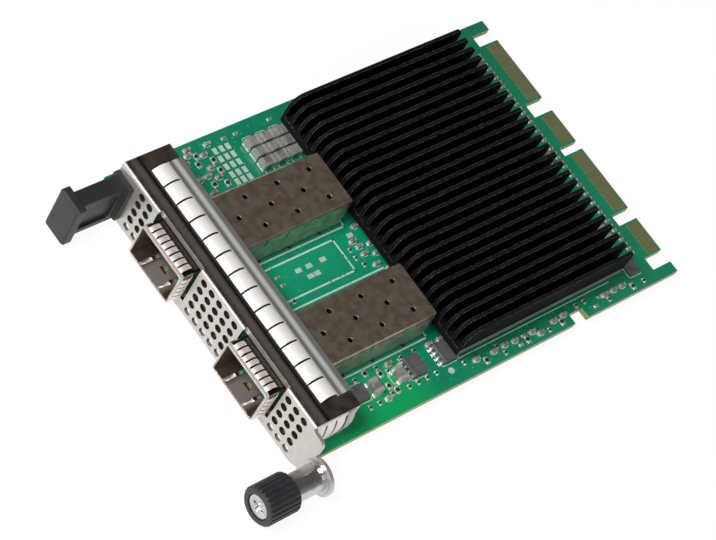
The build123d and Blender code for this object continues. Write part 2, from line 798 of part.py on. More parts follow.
with BuildPart() as thumbscrew_knob:
    add(turned(knob_radius, knob_bore, cap_back, knob_back))
    add(turned(knob_radius, shank_radius + knob_fit, disc_back, cap_back))
    add(turned(knob_radius, disc_radius + knob_fit, -knob_front, disc_back))
    for end in (0, -1):
        rims = thumbscrew_knob.edges().filter_by(GeomType.CIRCLE).group_by(Axis.Y)[end]
        chamfer(rims.sort_by(SortBy.RADIUS)[-1], knob_edge)
    with BuildSketch(facing_front(face_y + knob_back)):
        with Locations((screw_axis_x, screw_axis_z)):
            with PolarLocations(knob_radius, knob_ribs):
                Circle(rib_depth)
    extrude(amount=knob_length, mode=Mode.SUBTRACT)
save(thumbscrew_knob.part, "thumbscrew_knob")

# The spring pushes the ring and the screw forward from the floor of the ferrule's barrel.
coil_radius = barrel_bore - spring_play - spring_wire / 2
coil_length = -barrel_floor - ring_back - spring_wire
coil_front = Plane(origin=(screw_axis_x, face_y + ring_back + spring_wire / 2, screw_axis_z),
                   x_dir=(1, 0, 0), z_dir=(0, 1, 0))
with BuildPart() as screw_spring:
    coil = coil_front * Helix(coil_length / spring_turns, coil_length, coil_radius)
    with BuildLine():
        add(coil)
    with BuildSketch(Plane(origin=coil @ 0, z_dir=coil % 0)):
        Circle(spring_wire / 2)
    sweep()
save(screw_spring.part, "screw_spring")


# Parts on the board. Places are measured from the board's left edge and the faceplate's front.
def board_places(points):
    return [(from_left(x), from_front(y)) for x, y in points]


def flat_parts(points, size, height, level=top_z, corner=0.0, edge=0.0):
    """Rectangular bodies of one size standing on the board, or under it when the height is negative."""
    with BuildPart() as bodies:
        with BuildSketch(Plane.XY.offset(level)):
            with Locations(*board_places(points)):
                if corner > 0:
                    RectangleRounded(size[0], size[1], corner)
                else:
                    Rectangle(size[0], size[1])
        extrude(amount=height)
        if edge > 0:
            far = -1 if height > 0 else 0
            chamfer(bodies.edges().group_by(Axis.Z)[far], edge)
    return bodies.part


def two_pin_parts(points, size, height, level=top_z, upright=False):
    """Bodies between two end caps; returns the bodies and the caps as two parts."""
    length, width = size
    cap = length * cap_share
    body = (length - 2 * cap, width - 2 * cap_skin)
    offsets = [(side * (length - cap) / 2, 0) for side in (-1, 1)]
    cap_size = (cap, width)
    if upright:
        body = (body[1], body[0])
        offsets = [(y, x) for x, y in offsets]
        cap_size = (width, cap)
    sign = 1 if height > 0 else -1
    bodies = flat_parts(points, body, height - sign * cap_skin, level)
    cap_points = [(x + dx, y + dy) for x, y in points for dx, dy in offsets]
    return bodies, flat_parts(cap_points, cap_size, height, level)


def leaded_chip(points, size, height, leads, pitch):
    """Chips with a row of bent leads along their front and back; returns bodies and leads."""
    length, width = size
    bodies = flat_parts(points, size, height - lead_lift, top_z + lead_lift, 0, chip_edge)
    with BuildPart() as legs:
        for x, y in board_places(points):
            for side in (-1, 1):
                for i in range(leads):
                    lead_x = x + (i - (leads - 1) / 2) * pitch
                    root_y = y + side * width / 2
                    with BuildSketch(Plane.YZ.offset(lead_x)):
                        with BuildLine():
                            shoulder = top_z + height / 2
                            Polyline((root_y, shoulder), (root_y + side * lead_out, shoulder),
                                     (root_y + side * lead_out, top_z + lead_thickness),
                                     (root_y + side * lead_reach, top_z + lead_thickness),
                                     (root_y + side * lead_reach, top_z),
                                     (root_y + side * (lead_out - lead_thickness), top_z),
                                     (root_y + side * (lead_out - lead_thickness), shoulder - lead_thickness),
                                     (root_y, shoulder - lead_thickness), close=True)
                        make_face()
                    extrude(amount=pitch * lead_share / 2, both=True)
    return bodies, legs.part


# Where each kind stands on the top face
large_upright = [(x, y) for x in (6.4, 9.2, 12.0) for y in (38.1, 42.0, 45.9)]
large_along = [(68.3, 33.0), (68.4, 25.8), (38.0, 103.4), (60.5, 102.6)]
medium_upright = [(2.2, 28.4), (1.7, 23.0), (38.6, 48.2), (41.2, 48.0), (40.3, 45.2), (38.3, 45.2), (4.2, 26.0),
                  (7.6, 25.6), (10.4, 25.8), (13.4, 22.2), (9.4, 21.2), (4.8, 20.6), (73.2, 95.6), (73.2, 98.4),
                  (74.3, 71.2), (73.0, 79.4), (73.0, 61.0), (73.0, 52.4), (2.2, 61.0), (2.2, 74.6), (2.2, 90.2),
                  (14.8, 48.9), (33.6, 47.4), (45.6, 48.4), (16.0, 101.8), (28.4, 102.6), (49.4, 103.0),
                  (5.8, 17.0), (8.8, 16.8), (13.6, 17.4), (9.2, 23.6), (15.2, 26.4), (3.0, 22.4), (14.9, 29.0),
                  (73.2, 57.6), (73.2, 64.0), (73.2, 69.4), (73.2, 76.2), (73.2, 92.6), (65.2, 44.4),
                  (65.2, 47.6), (71.8, 27.4), (36.6, 44.6), (43.6, 46.2), (65.0, 32.6)]
medium_along = [(5.9, 23.4), (11.6, 23.8), (12.2, 20.0), (7.2, 18.4), (11.0, 17.2), (12.4, 26.9), (71.0, 30.6),
                (66.2, 29.4), (69.4, 29.4), (67.2, 18.6), (70.2, 18.4), (67.0, 16.2), (22.0, 101.4),
                (3.9, 24.2), (7.6, 20.2), (4.2, 16.6), (12.0, 18.6), (9.6, 19.0), (6.2, 27.4), (9.0, 27.4),
                (74.2, 54.6), (74.2, 67.2), (74.2, 78.0), (70.2, 16.0), (64.4, 20.4), (64.6, 26.2),
                (74.4, 101.0), (33.0, 104.4), (44.0, 101.6), (54.6, 104.0), (65.6, 99.8), (10.4, 101.2)]
tiny_along = [(71.6, 41.6), (71.6, 38.8), (71.6, 36.2), (71.6, 33.6), (65.0, 36.4), (65.0, 40.2), (65.0, 23.0),
              (72.4, 49.2), (36.4, 18.4), (40.6, 18.4), (43.4, 22.4), (12.2, 14.8), (6.0, 15.2), (69.2, 14.6),
              (18.6, 104.0), (25.0, 104.2), (40.6, 99.8), (57.0, 99.8), (30.6, 99.8), (74.4, 104.6),
              (72.4, 59.0), (74.6, 60.0), (74.6, 73.8), (72.4, 84.0), (72.4, 86.6), (74.6, 93.0), (66.4, 31.4),
              (71.2, 29.0), (71.8, 24.8), (71.8, 22.2), (64.6, 29.4), (38.2, 42.6), (40.4, 42.6), (42.6, 43.4)]
tiny_upright = [(14.6, 31.4), (14.6, 34.8), (2.4, 33.0), (2.4, 36.4), (36.9, 22.6), (39.0, 22.6), (74.6, 64.8),
                (73.0, 66.8), (74.6, 88.6), (73.0, 91.0), (46.4, 55.6), (30.4, 55.6), (2.4, 46.2), (2.4, 100.4)]
coupling_count = 1 + int((coupling_last_x - coupling_first_x) / coupling_pitch)
coupling_points = [(coupling_first_x + i * coupling_pitch, coupling_y) for i in range(coupling_count)]
lead_chip_points = [(68.3, 46.2), (68.1, 37.5)]
flat_chip_points = [(68.0, 22.0), (14.0, 56.4), (60.4, 56.0), (70.2, 103.6)]
inductor_points = [(14.6, 64.0), (14.6, 71.0), (61.0, 64.0), (61.0, 71.0)]
oscillator_points = [(50.0, 99.6), (9.6, 104.6)]
pad_rows = [(x, y) for x in (4.4, 6.6, 8.8, 11.0, 13.0) for y in (29.2, 31.0, 32.8)]
pad_size = (1.6, 1.1)
single_pads = [(35.0, 45.0), (37.4, 35.2), (37.4, 31.2), (37.4, 28.2), (39.7, 31.9), (39.7, 30.0)]
round_pads = [(72.6, 45.2), (3.0, 104.0)]
round_pad_radius = 0.75
light_spread = (port_pitch - opening_width) / 2 - light_past_opening
light_points = [(port_middle_x + side * (light_spread - i * light_step), light_from_front)
                for side in (-1, 1) for i in range(2)]

# Where each kind stands on the underside
sink_middle = sink_left + sink_width / 2
under_grid = [(sink_middle + (i - (grid_count[0] - 1) / 2) * grid_step[0],
               chip_from_front + (j - (grid_count[1] - 1) / 2) * grid_step[1])
              for i in range(grid_count[0]) for j in range(grid_count[1])]
under_medium = [(14.0, 60.0), (14.0, 64.0), (14.0, 68.0), (62.0, 60.0), (62.0, 64.0), (62.0, 68.0),
                (24.0, 100.0), (30.0, 100.0), (48.0, 100.0), (54.0, 100.0), (38.0, 30.0), (40.5, 30.0),
                (43.0, 30.0), (9.0, 30.0)]
under_tiny = [(coupling_first_x + i * 2 * coupling_pitch, coupling_y) for i in range(coupling_count // 2)]
under_chips = [(17.0, 80.0), (58.0, 82.0), (38.0, 36.0), (68.0, 40.0)]

large_bodies, large_caps = two_pin_parts(large_upright, large_part, large_height, upright=True)
long_bodies, long_caps = two_pin_parts(large_along, large_part, large_height)
with BuildPart() as bulk_capacitors:
    add(large_bodies)
    add(long_bodies)
save(bulk_capacitors.part, "bulk_capacitors")

medium_bodies, medium_caps = two_pin_parts(medium_upright, medium_part, medium_height, upright=True)
tiny_bodies, tiny_caps = two_pin_parts(tiny_upright + coupling_points, tiny_part, tiny_height, upright=True)
grid_bodies, grid_caps = two_pin_parts(under_grid + under_tiny, tiny_part, -tiny_height, bottom_z, upright=True)
with BuildPart() as ceramic_capacitors:
    add(medium_bodies)
    add(tiny_bodies)
    add(grid_bodies)
save(ceramic_capacitors.part, "ceramic_capacitors")

wide_bodies, wide_caps = two_pin_parts(medium_along, medium_part, medium_height / 2)
small_bodies, small_caps = two_pin_parts(tiny_along, tiny_part, tiny_height)
under_bodies, under_caps = two_pin_parts(under_medium, medium_part, -medium_height / 2, bottom_z)
with BuildPart() as chip_resistors:
    add(wide_bodies)
    add(small_bodies)
    add(under_bodies)
save(chip_resistors.part, "chip_resistors")

with BuildPart() as part_terminals:
    for caps in (large_caps, long_caps, medium_caps, tiny_caps, grid_caps, wide_caps, small_caps, under_caps):
        add(caps)
save(part_terminals.part, "part_terminals")

chip_bodies, chip_leads = leaded_chip(lead_chip_points, lead_chip, lead_chip_height, lead_chip_leads,
                                      lead_chip_pitch)
save(chip_bodies, "leaded_chips")
save(chip_leads, "chip_leads")

with BuildPart() as flat_chips:
    add(flat_parts(flat_chip_points, flat_chip, flat_chip_height, edge=chip_edge))
    add(flat_parts(under_chips, flat_chip, -flat_chip_height, bottom_z, edge=chip_edge))
save(flat_chips.part, "flat_chips")

save(flat_parts(inductor_points, (inductor_side, inductor_side), inductor_height, corner=inductor_corner,
                edge=chip_edge), "power_inductors")
save(flat_parts(oscillator_points, oscillator_size, oscillator_height, corner=chip_edge), "oscillators")
save(flat_parts(light_points, light_size, light_height), "status_lights")

with BuildPart() as bare_pads:
    add(flat_parts(pad_rows, pad_size, pad_sheet))
    add(flat_parts(single_pads, (pad_size[1], pad_size[0]), pad_sheet))
    with BuildSketch(Plane.XY.offset(top_z)):
        with Locations(*board_places(round_pads)):
            Circle(round_pad_radius)
    extrude(amount=pad_sheet)
save(bare_pads.part, "bare_pads")
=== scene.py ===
import math
import random

import bmesh
import bpy
from mathutils import Matrix, Vector


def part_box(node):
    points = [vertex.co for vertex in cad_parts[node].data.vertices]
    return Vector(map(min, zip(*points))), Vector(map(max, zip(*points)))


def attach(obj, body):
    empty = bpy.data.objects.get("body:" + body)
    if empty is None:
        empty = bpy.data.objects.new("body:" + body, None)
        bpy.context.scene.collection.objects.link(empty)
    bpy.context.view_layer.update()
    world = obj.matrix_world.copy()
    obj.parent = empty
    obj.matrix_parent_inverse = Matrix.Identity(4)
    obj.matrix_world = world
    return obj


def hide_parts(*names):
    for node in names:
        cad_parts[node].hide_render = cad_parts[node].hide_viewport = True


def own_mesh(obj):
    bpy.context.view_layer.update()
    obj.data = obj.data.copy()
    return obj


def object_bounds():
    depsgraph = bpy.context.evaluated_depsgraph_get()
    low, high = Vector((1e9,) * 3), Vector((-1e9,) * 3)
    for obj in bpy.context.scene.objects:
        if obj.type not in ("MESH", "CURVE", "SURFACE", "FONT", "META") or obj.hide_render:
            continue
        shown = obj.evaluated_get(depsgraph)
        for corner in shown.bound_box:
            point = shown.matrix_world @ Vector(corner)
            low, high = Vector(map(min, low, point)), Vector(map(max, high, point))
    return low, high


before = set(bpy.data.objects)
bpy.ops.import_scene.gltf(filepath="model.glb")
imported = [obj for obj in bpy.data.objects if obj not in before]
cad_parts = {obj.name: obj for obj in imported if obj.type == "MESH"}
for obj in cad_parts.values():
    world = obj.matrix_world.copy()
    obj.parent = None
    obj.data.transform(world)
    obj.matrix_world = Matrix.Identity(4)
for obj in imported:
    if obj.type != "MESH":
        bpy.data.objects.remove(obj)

cad_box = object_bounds()
mm = 0.001

# Places on the card, in metres
board_low, board_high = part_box("circuit_board")
board_top = board_high.z
board_bottom = board_low.z
sink_low, sink_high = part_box("heat_sink")
sink_lift = 2.9 * mm                # feet under the base plate
sink_base = sink_lift + 1.9 * mm    # top of the base plate
shaft_low, shaft_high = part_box("thumbscrew_shaft")
screw_axis = ((shaft_low.x + shaft_high.x) / 2, (shaft_low.z + shaft_high.z) / 2)
face_low, face_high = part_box("faceplate")
face_front = face_low.y
flange_level = face_high.z - 1.0 * mm
vent_reach = 35.0 * mm              # the vents lie within this of the middle
vent_floor = face_low.z + 1.2 * mm
ink_clear = 0.012 * mm              # printed lines lie this far off the mask


# Node trees

def join(tree, socket, value):
    """Sets a socket to a value, or links it to another socket."""
    if isinstance(value, bpy.types.NodeSocket):
        tree.links.new(value, socket)
    else:
        socket.default_value = value


def node(tree, kind, inputs=None, **settings):
    """Adds a node with its settings and its inputs, given by name or by number."""
    made = tree.nodes.new(kind)
    for key, value in settings.items():
        setattr(made, key, value)
    for key, value in (inputs or {}).items():
        join(tree, made.inputs[key], value)
    return made


def maths(tree, operation, a, b=0.0):
    """One Math node; returns its output."""
    return node(tree, "ShaderNodeMath", {0: a, 1: b}, operation=operation).outputs[0]


def product(tree, first, *others):
    """Masks or numbers multiplied together."""
    for other in others:
        first = maths(tree, "MULTIPLY", first, other)
    return first


def between(tree, value, low, high, to_low=0.0, to_high=1.0):
    """Value mapped from one range to another and clamped."""
    made = node(tree, "ShaderNodeMapRange", {"Value": value, "From Min": low, "From Max": high,
                                             "To Min": to_low, "To Max": to_high})
    return made.outputs["Result"]


def blend_colours(tree, share, a, b):
    """Colour a where the share is 0 and b where it is 1; each is a socket, or red, green and blue."""
    made = node(tree, "ShaderNodeMix", {0: share}, data_type="RGBA")
    for place, colour in ((6, a), (7, b)):
        is_socket = isinstance(colour, bpy.types.NodeSocket)
        join(tree, made.inputs[place], colour if is_socket else (*colour, 1.0))
    return made.outputs[2]


def noise(tree, place, scale, detail):
    """Noise from 0 to 1 around a half."""
    made = node(tree, "ShaderNodeTexNoise", {"Vector": place, "Scale": scale, "Detail": detail})
    return made.outputs["Fac"]


def axes_of(tree, vector):
    """The three parts of a vector, each under its letter."""
    return node(tree, "ShaderNodeSeparateXYZ", {"Vector": vector}).outputs


def facing_of(tree):
    """The way that the surface faces, as three parts."""
    return axes_of(tree, node(tree, "ShaderNodeNewGeometry").outputs["Normal"])


def in_millimetres(tree, centre=(0.0, 0.0, 0.0), stretch=(1.0, 1.0, 1.0)):
    """Object coordinates in millimetres, from a centre, squeezed or stretched along each axis."""
    place = node(tree, "ShaderNodeTexCoord").outputs["Object"]
    moved = node(tree, "ShaderNodeVectorMath", {0: place, 1: Vector(centre)}, operation="SUBTRACT")
    scaled = node(tree, "ShaderNodeVectorMath", {0: moved.outputs[0], 1: [s / mm for s in stretch]},
                  operation="MULTIPLY")
    return scaled.outputs[0]


def new_group(name, inputs, outputs):
    """Shader node group with named number or vector sockets."""
    kinds = {"number": "NodeSocketFloat", "vector": "NodeSocketVector"}
    group = bpy.data.node_groups.new(name, "ShaderNodeTree")
    for label, kind, value in inputs:
        socket = group.interface.new_socket(label, in_out="INPUT", socket_type=kinds[kind])
        if value is not None:
            socket.default_value = value
    for label, kind in outputs:
        group.interface.new_socket(label, in_out="OUTPUT", socket_type=kinds[kind])
    start = group.nodes.new("NodeGroupInput")
    end = group.nodes.new("NodeGroupOutput")
    return group, start.outputs, end.inputs


def use_group(tree, group, **inputs):
    """Places a shader group with its inputs, spaces in their names written as underscores."""
    made = tree.nodes.new("ShaderNodeGroup")
    made.node_tree = group
    for key, value in inputs.items():
        join(tree, made.inputs[key.replace("_", " ")], value)
    return made.outputs


def make_grain():
    """Fine and broad mottling of a surface, each from 0 to 1 around a half."""
    inputs = [("Place", "vector", None), ("Fine", "number", 6.0), ("Broad", "number", 0.15)]
    group, given, out = new_group("surface grain", inputs, [("Fine", "number"), ("Broad", "number")])
    join(group, out["Fine"], noise(group, given["Place"], given["Fine"], 3.0))
    join(group, out["Broad"], noise(group, given["Place"], given["Broad"], 2.0))
    return group


def make_edge_wear():
    """Mask that is 1 along worn edges, and the softened normal of the edges."""
    inputs = [("Radius", "number", 0.0002), ("Place", "vector", None), ("Patchy", "number", 0.8)]
    group, given, out = new_group("edge wear", inputs, [("Mask", "number"), ("Normal", "vector")])
    soft = node(group, "ShaderNodeBevel", {"Radius": given["Radius"]}, samples=4).outputs["Normal"]
    flat = node(group, "ShaderNodeNewGeometry").outputs["Normal"]
    alike = node(group, "ShaderNodeVectorMath", {0: soft, 1: flat}, operation="DOT_PRODUCT")
    turned = between(group, alike.outputs["Value"], 0.995, 0.93)
    patch = between(group, noise(group, given["Place"], given["Patchy"], 4.0), 0.38, 0.62)
    join(group, out["Mask"], product(group, turned, patch))
    join(group, out["Normal"], soft)
    return group


def make_tracks():
    """Copper tracks under the solder mask: bundles that run straight or at 45 degrees, by cell."""
    inputs = [("Place", "vector", None), ("Pitch", "number", 0.45), ("Cells", "number", 0.16)]
    group, given, out = new_group("copper tracks", inputs, [("Tracks", "number"), ("Pour", "number")])
    cells = node(group, "ShaderNodeTexVoronoi", {"Vector": given["Place"], "Scale": given["Cells"],
                                                 "Randomness": 0.85}, distance="CHEBYCHEV")
    dice = node(group, "ShaderNodeSeparateColor", {"Color": cells.outputs["Color"]}).outputs
    eighth = maths(group, "FLOOR", product(group, dice["Red"], 4.0))
    angle = product(group, eighth, math.pi / 4)
    place = axes_of(group, given["Place"])
    across = maths(group, "ADD", product(group, place["X"], maths(group, "COSINE", angle)),
                   product(group, place["Y"], maths(group, "SINE", angle)))
    stripe = maths(group, "PINGPONG", maths(group, "DIVIDE", across, given["Pitch"]), 0.5)
    line = between(group, stripe, 0.24, 0.30)
    bundled = maths(group, "GREATER_THAN", dice["Green"], 0.45)
    join(group, out["Tracks"], product(group, line, bundled))
    join(group, out["Pour"], maths(group, "GREATER_THAN", dice["Blue"], 0.55))
    return group


grain = make_grain()
edge_wear = make_edge_wear()
tracks = make_tracks()


# Materials

def new_material(name, metallic=0.0, specular=0.5, coat=0.0, coat_roughness=0.1):
    """Material with its Principled shader; numbers that are the same all over go on its own sockets."""
    material = bpy.data.materials.new(name)
    material.use_nodes = True
    tree = material.node_tree
    shader = tree.nodes["Principled BSDF"]
    shader.inputs["Metallic"].default_value = metallic
    shader.inputs["Specular IOR Level"].default_value = specular
    shader.inputs["Coat Weight"].default_value = coat
    shader.inputs["Coat Roughness"].default_value = coat_roughness
    return material, tree, shader


def dress(tree, shader, colour, roughness, normal, metallic=None):
    """Joins what changes over a surface to its shader."""
    join(tree, shader.inputs["Base Color"], colour)
    join(tree, shader.inputs["Roughness"], roughness)
    join(tree, shader.inputs["Normal"], normal)
    if metallic is not None:
        join(tree, shader.inputs["Metallic"], metallic)


def bumped(tree, height, depth, normal=None):
    """Normal raised by a height from 0 to 1 over a depth in metres."""
    inputs = {"Height": height, "Distance": depth, "Strength": 1.0}
    if normal is not None:
        inputs["Normal"] = normal
    return node(tree, "ShaderNodeBump", inputs).outputs["Normal"]


def plain_surface(name, colour, other, roughness, spread, depth, fine, broad, metallic=0.0, worn=None,
                  wear_radius=0.15, coat=0.0, soften=True):
    """Surface mottled between two colours, with fine grain in its gloss and relief, and worn edges."""
    material, tree, shader = new_material(name, metallic, coat=coat)
    place = in_millimetres(tree)
    mottle = use_group(tree, grain, Place=place, Fine=fine, Broad=broad)
    shade = blend_colours(tree, between(tree, mottle["Broad"], 0.3, 0.7), colour, other)
    rough = between(tree, mottle["Fine"], 0.25, 0.75, roughness - spread, roughness + spread)
    normal = None
    if soften:
        edges = use_group(tree, edge_wear, Radius=wear_radius * mm, Place=place)
        normal = edges["Normal"]
        if worn is not None:
            shade = blend_colours(tree, edges["Mask"], shade, worn)
    dress(tree, shader, shade, rough, bumped(tree, mottle["Fine"], depth * mm, normal))
    return material


def lathe_turned_steel():
    """Fine rings about the screw's axis and lines round its sides."""
    material, tree, shader = new_material("turned_steel", metallic=1.0)
    place = in_millimetres(tree, centre=(screw_axis[0], 0.0, screw_axis[1]))
    parts = axes_of(tree, place)
    squares = maths(tree, "ADD", maths(tree, "POWER", parts["X"], 2.0), maths(tree, "POWER", parts["Z"], 2.0))
    rings = node(tree, "ShaderNodeCombineXYZ", {"X": maths(tree, "SQRT", squares), "Y": parts["Y"]})
    lines = noise(tree, rings.outputs[0], 5.0, 3.0)
    blotch = between(tree, noise(tree, place, 0.7, 2.0), 0.35, 0.65)
    shade = blend_colours(tree, blotch, (0.62, 0.62, 0.63), (0.496, 0.496, 0.504))
    edges = use_group(tree, edge_wear, Radius=0.12 * mm, Place=place)
    dress(tree, shader, shade, between(tree, lines, 0.3, 0.7, 0.13, 0.29),
          bumped(tree, lines, 0.02 * mm, edges["Normal"]))
    return material


def finned_aluminium():
    """Black anodised fins with drawing lines along them; worn edges painted lighter, partly as a painted
    highlight along the fin tops; faces turned sideways painted darker as painted shade; the base plate's cut
    sides are bare, with a green cast painted as a reflection of the board.
    """
    material, tree, shader = new_material("black_anodised_aluminium", specular=0.04)
    place = in_millimetres(tree)
    drawn = use_group(tree, grain, Place=in_millimetres(tree, stretch=(5.0, 0.25, 5.0)), Fine=1.2, Broad=0.1)
    black = blend_colours(tree, drawn["Broad"], (0.007, 0.007, 0.0075), (0.014, 0.014, 0.015))
    edges = use_group(tree, edge_wear, Radius=0.12 * mm, Place=place)
    # worn edges painted lighter: partly edge wear, partly a painted highlight standing in for the glints
    # along the fin tops
    black = blend_colours(tree, edges["Mask"], black, (0.27, 0.27, 0.275))
    sideways = maths(tree, "GREATER_THAN", maths(tree, "ABSOLUTE", facing_of(tree)["X"]), 0.9)
    # painted shade: faces turned sideways, the fins' sides among them, painted darker than the tops
    black = blend_colours(tree, sideways, black, (0.002, 0.002, 0.0022))
    height = axes_of(tree, place)["Z"]
    low_part = maths(tree, "LESS_THAN", height, (sink_low.z + sink_base) / mm)
    off_board = maths(tree, "GREATER_THAN", height, (sink_low.z + sink_lift) / mm)
    bare = product(tree, sideways, low_part, off_board)
    milled = use_group(tree, grain, Place=in_millimetres(tree, stretch=(1.0, 0.5, 3.0)), Fine=3.0, Broad=0.4)
    # painted reflection: the green cast of the bare metal stands in for the green board that it mirrors
    metal = blend_colours(tree, milled["Broad"], (0.13, 0.16, 0.15), (0.22, 0.25, 0.235))
    dress(tree, shader, blend_colours(tree, bare, black, metal),
          between(tree, drawn["Fine"], 0.25, 0.75, 0.55, 0.75),
          bumped(tree, drawn["Fine"], 0.012 * mm, edges["Normal"]), product(tree, bare, 0.7))
    return material


def line_at(tree, depth, behind_face, half_width, fade):
    """Mask of a line across the card, so many millimetres behind the faceplate's front."""
    away = maths(tree, "ABSOLUTE", maths(tree, "SUBTRACT", depth, face_front / mm + behind_face))
    return between(tree, away, half_width, fade, 1.0, 0.0)


def folded_steel():
    """Bright plated steel of the faceplate; the flange's top is painted dark as a painted reflection, with a
    painted highlight line and a painted shadow line along it, and the vent holes' walls are painted dark as
    painted shade.
    """
    sheet = 0.98            # a little less than its thickness
    material, tree, shader = new_material("bright_faceplate_steel")
    place = in_millimetres(tree)
    mottle = use_group(tree, grain, Place=place, Fine=3.0, Broad=0.4)
    bright = blend_colours(tree, mottle["Broad"], (0.56, 0.528, 0.495), (0.68, 0.652, 0.620))
    # painted dark reflection: the tone that the flange's top is painted, standing in for the dark that it
    # mirrors
    painted_dark_tone = blend_colours(tree, between(tree, mottle["Broad"], 0.3, 0.7), (0.078, 0.064, 0.057),
                         (0.165, 0.143, 0.128))
    edges = use_group(tree, edge_wear, Radius=0.1 * mm, Place=place)
    spot = axes_of(tree, place)
    facing = facing_of(tree)
    # painted highlight: a lighter line along the flange's top
    rubbed_and_painted_light = product(tree, line_at(tree, spot["Y"], behind_face=2.4, half_width=0.3, fade=1.3), 0.75)
    painted_dark_tone = blend_colours(tree, rubbed_and_painted_light, painted_dark_tone, (0.29, 0.275, 0.26))
    # painted shadow: a dark line along the flange beside the gasket
    painted_shadow_line = line_at(tree, spot["Y"], behind_face=3.8, half_width=0.2, fade=0.55)
    painted_dark_tone = blend_colours(tree, painted_shadow_line, painted_dark_tone, (0.03, 0.027, 0.025))
    on_flange = maths(tree, "GREATER_THAN", spot["Z"], flange_level / mm)
    flange = product(tree, between(tree, facing["Z"], 0.75, 0.97), on_flange)
    unworn = product(tree, flange, maths(tree, "SUBTRACT", 1.0, edges["Mask"]))
    # painted shade: the vent holes' walls are painted dark, standing in for the shade inside the holes
    in_sheet = maths(tree, "LESS_THAN", spot["Y"], face_front / mm + sheet)
    edgeways = maths(tree, "LESS_THAN", maths(tree, "ABSOLUTE", facing["Y"]), 0.3)
    below_flange = maths(tree, "LESS_THAN", spot["Z"], flange_level / mm)
    above_floor = maths(tree, "GREATER_THAN", spot["Z"], vent_floor / mm)
    among_vents = maths(tree, "LESS_THAN", maths(tree, "ABSOLUTE", spot["X"]), vent_reach / mm)
    hole_wall = product(tree, in_sheet, edgeways, below_flange, above_floor, among_vents)
    # where the painted dark tone goes: the flange's top, less its worn edges, and the vent holes' walls
    dark = maths(tree, "MAXIMUM", unworn, hole_wall)
    rough = between(tree, mottle["Fine"], 0.3, 0.7, 0.3, 0.4)
    dress(tree, shader, blend_colours(tree, dark, bright, painted_dark_tone),
          maths(tree, "ADD", rough, product(tree, dark, 0.1)), edges["Normal"],
          between(tree, dark, 0.0, 1.0, 0.75, 0.9))
    return material


def cage_sheet():
    """Nickel plate tinted by forming; its roof in front of the collar's end is painted dark as painted shade,
    and a dull strip on each floor, worn where modules slide in, is kept to the middle of the mouth as painted
    light.
    """
    roof_level = 8.0
    collar_end = face_front / mm + 2.6
    strips_middle = 3.15    # the worn strips of the two ports, also placed as painted light, lie to either side of this
    strip_offset = 15.5
    material, tree, shader = new_material("nickel_plated_cage", metallic=1.0)
    place = in_millimetres(tree)
    mottle = use_group(tree, grain, Place=place, Fine=1.2, Broad=0.5)
    tint = blend_colours(tree, between(tree, mottle["Broad"], 0.38, 0.62), (0.43, 0.335, 0.30),
                         (0.54, 0.515, 0.40))
    edges = use_group(tree, edge_wear, Radius=0.16 * mm, Place=place)
    plate = blend_colours(tree, edges["Mask"], tint, (0.76, 0.73, 0.69))
    spot = axes_of(tree, place)
    upward = maths(tree, "GREATER_THAN", facing_of(tree)["Z"], 0.5)
    on_roof = maths(tree, "GREATER_THAN", spot["Z"], roof_level)
    before_end = maths(tree, "LESS_THAN", spot["Y"], collar_end)
    # painted shade: the roof in front of the collar's end, in the faceplate's notch, painted nearly black
    plate = blend_colours(tree, product(tree, upward, on_roof, before_end), plate, (0.03, 0.026, 0.024))
    lead_in = between(tree, spot["Y"], collar_end + 1.0, collar_end + 7.0, 1.0, 0.0)
    on_floor = maths(tree, "SUBTRACT", 1.0, on_roof)
    off_middle = maths(tree, "ABSOLUTE", maths(tree, "SUBTRACT", spot["X"], strips_middle))
    off_strip = maths(tree, "ABSOLUTE", maths(tree, "SUBTRACT", off_middle, strip_offset))
    in_strip = between(tree, off_strip, 2.2, 4.0, 1.0, 0.0)
    # dull strip: partly wear where modules slide in, partly painted light, kept to the middle of each mouth
    # while the sides stay dark as shade
    rubbed_and_painted_light = product(tree, upward, lead_in, on_floor, in_strip)
    dress(tree, shader, blend_colours(tree, rubbed_and_painted_light, plate, (0.28, 0.24, 0.22)),
          between(tree, mottle["Fine"], 0.25, 0.75, 0.33, 0.40), edges["Normal"],
          between(tree, rubbed_and_painted_light, 0.0, 1.0, 1.0, 0.25))
    return material


def spring_plate():
    """Spring fingers painted near white as a painted reflection of the bright surroundings; the flat band
    behind them is duller, with a paler rim.
    """
    band_start = 9.36
    material, tree, shader = new_material("spring_finger_plate")
    place = in_millimetres(tree)
    mottle = use_group(tree, grain, Place=place, Fine=5.0, Broad=0.3)
    # painted reflection: the fingers' near-white colour stands in for the bright light that they mirror
    bright = blend_colours(tree, mottle["Broad"], (0.90, 0.89, 0.87), (0.96, 0.95, 0.93))
    dull = blend_colours(tree, mottle["Broad"], (0.30, 0.30, 0.30), (0.46, 0.46, 0.45))
    depth = axes_of(tree, place)["Y"]
    band = maths(tree, "GREATER_THAN", depth, face_front / mm + band_start)
    rim = line_at(tree, depth, behind_face=10.95, half_width=0.3, fade=0.9)
    dull = blend_colours(tree, rim, dull, (0.50, 0.54, 0.52))
    bare = maths(tree, "SUBTRACT", band, rim)
    dress(tree, shader, blend_colours(tree, band, bright, dull),
          between(tree, mottle["Fine"], 0.3, 0.7, 0.4, 0.52), bumped(tree, mottle["Fine"], 0.002 * mm),
          between(tree, bare, 0.0, 1.0, 0.12, 0.8))
    return material


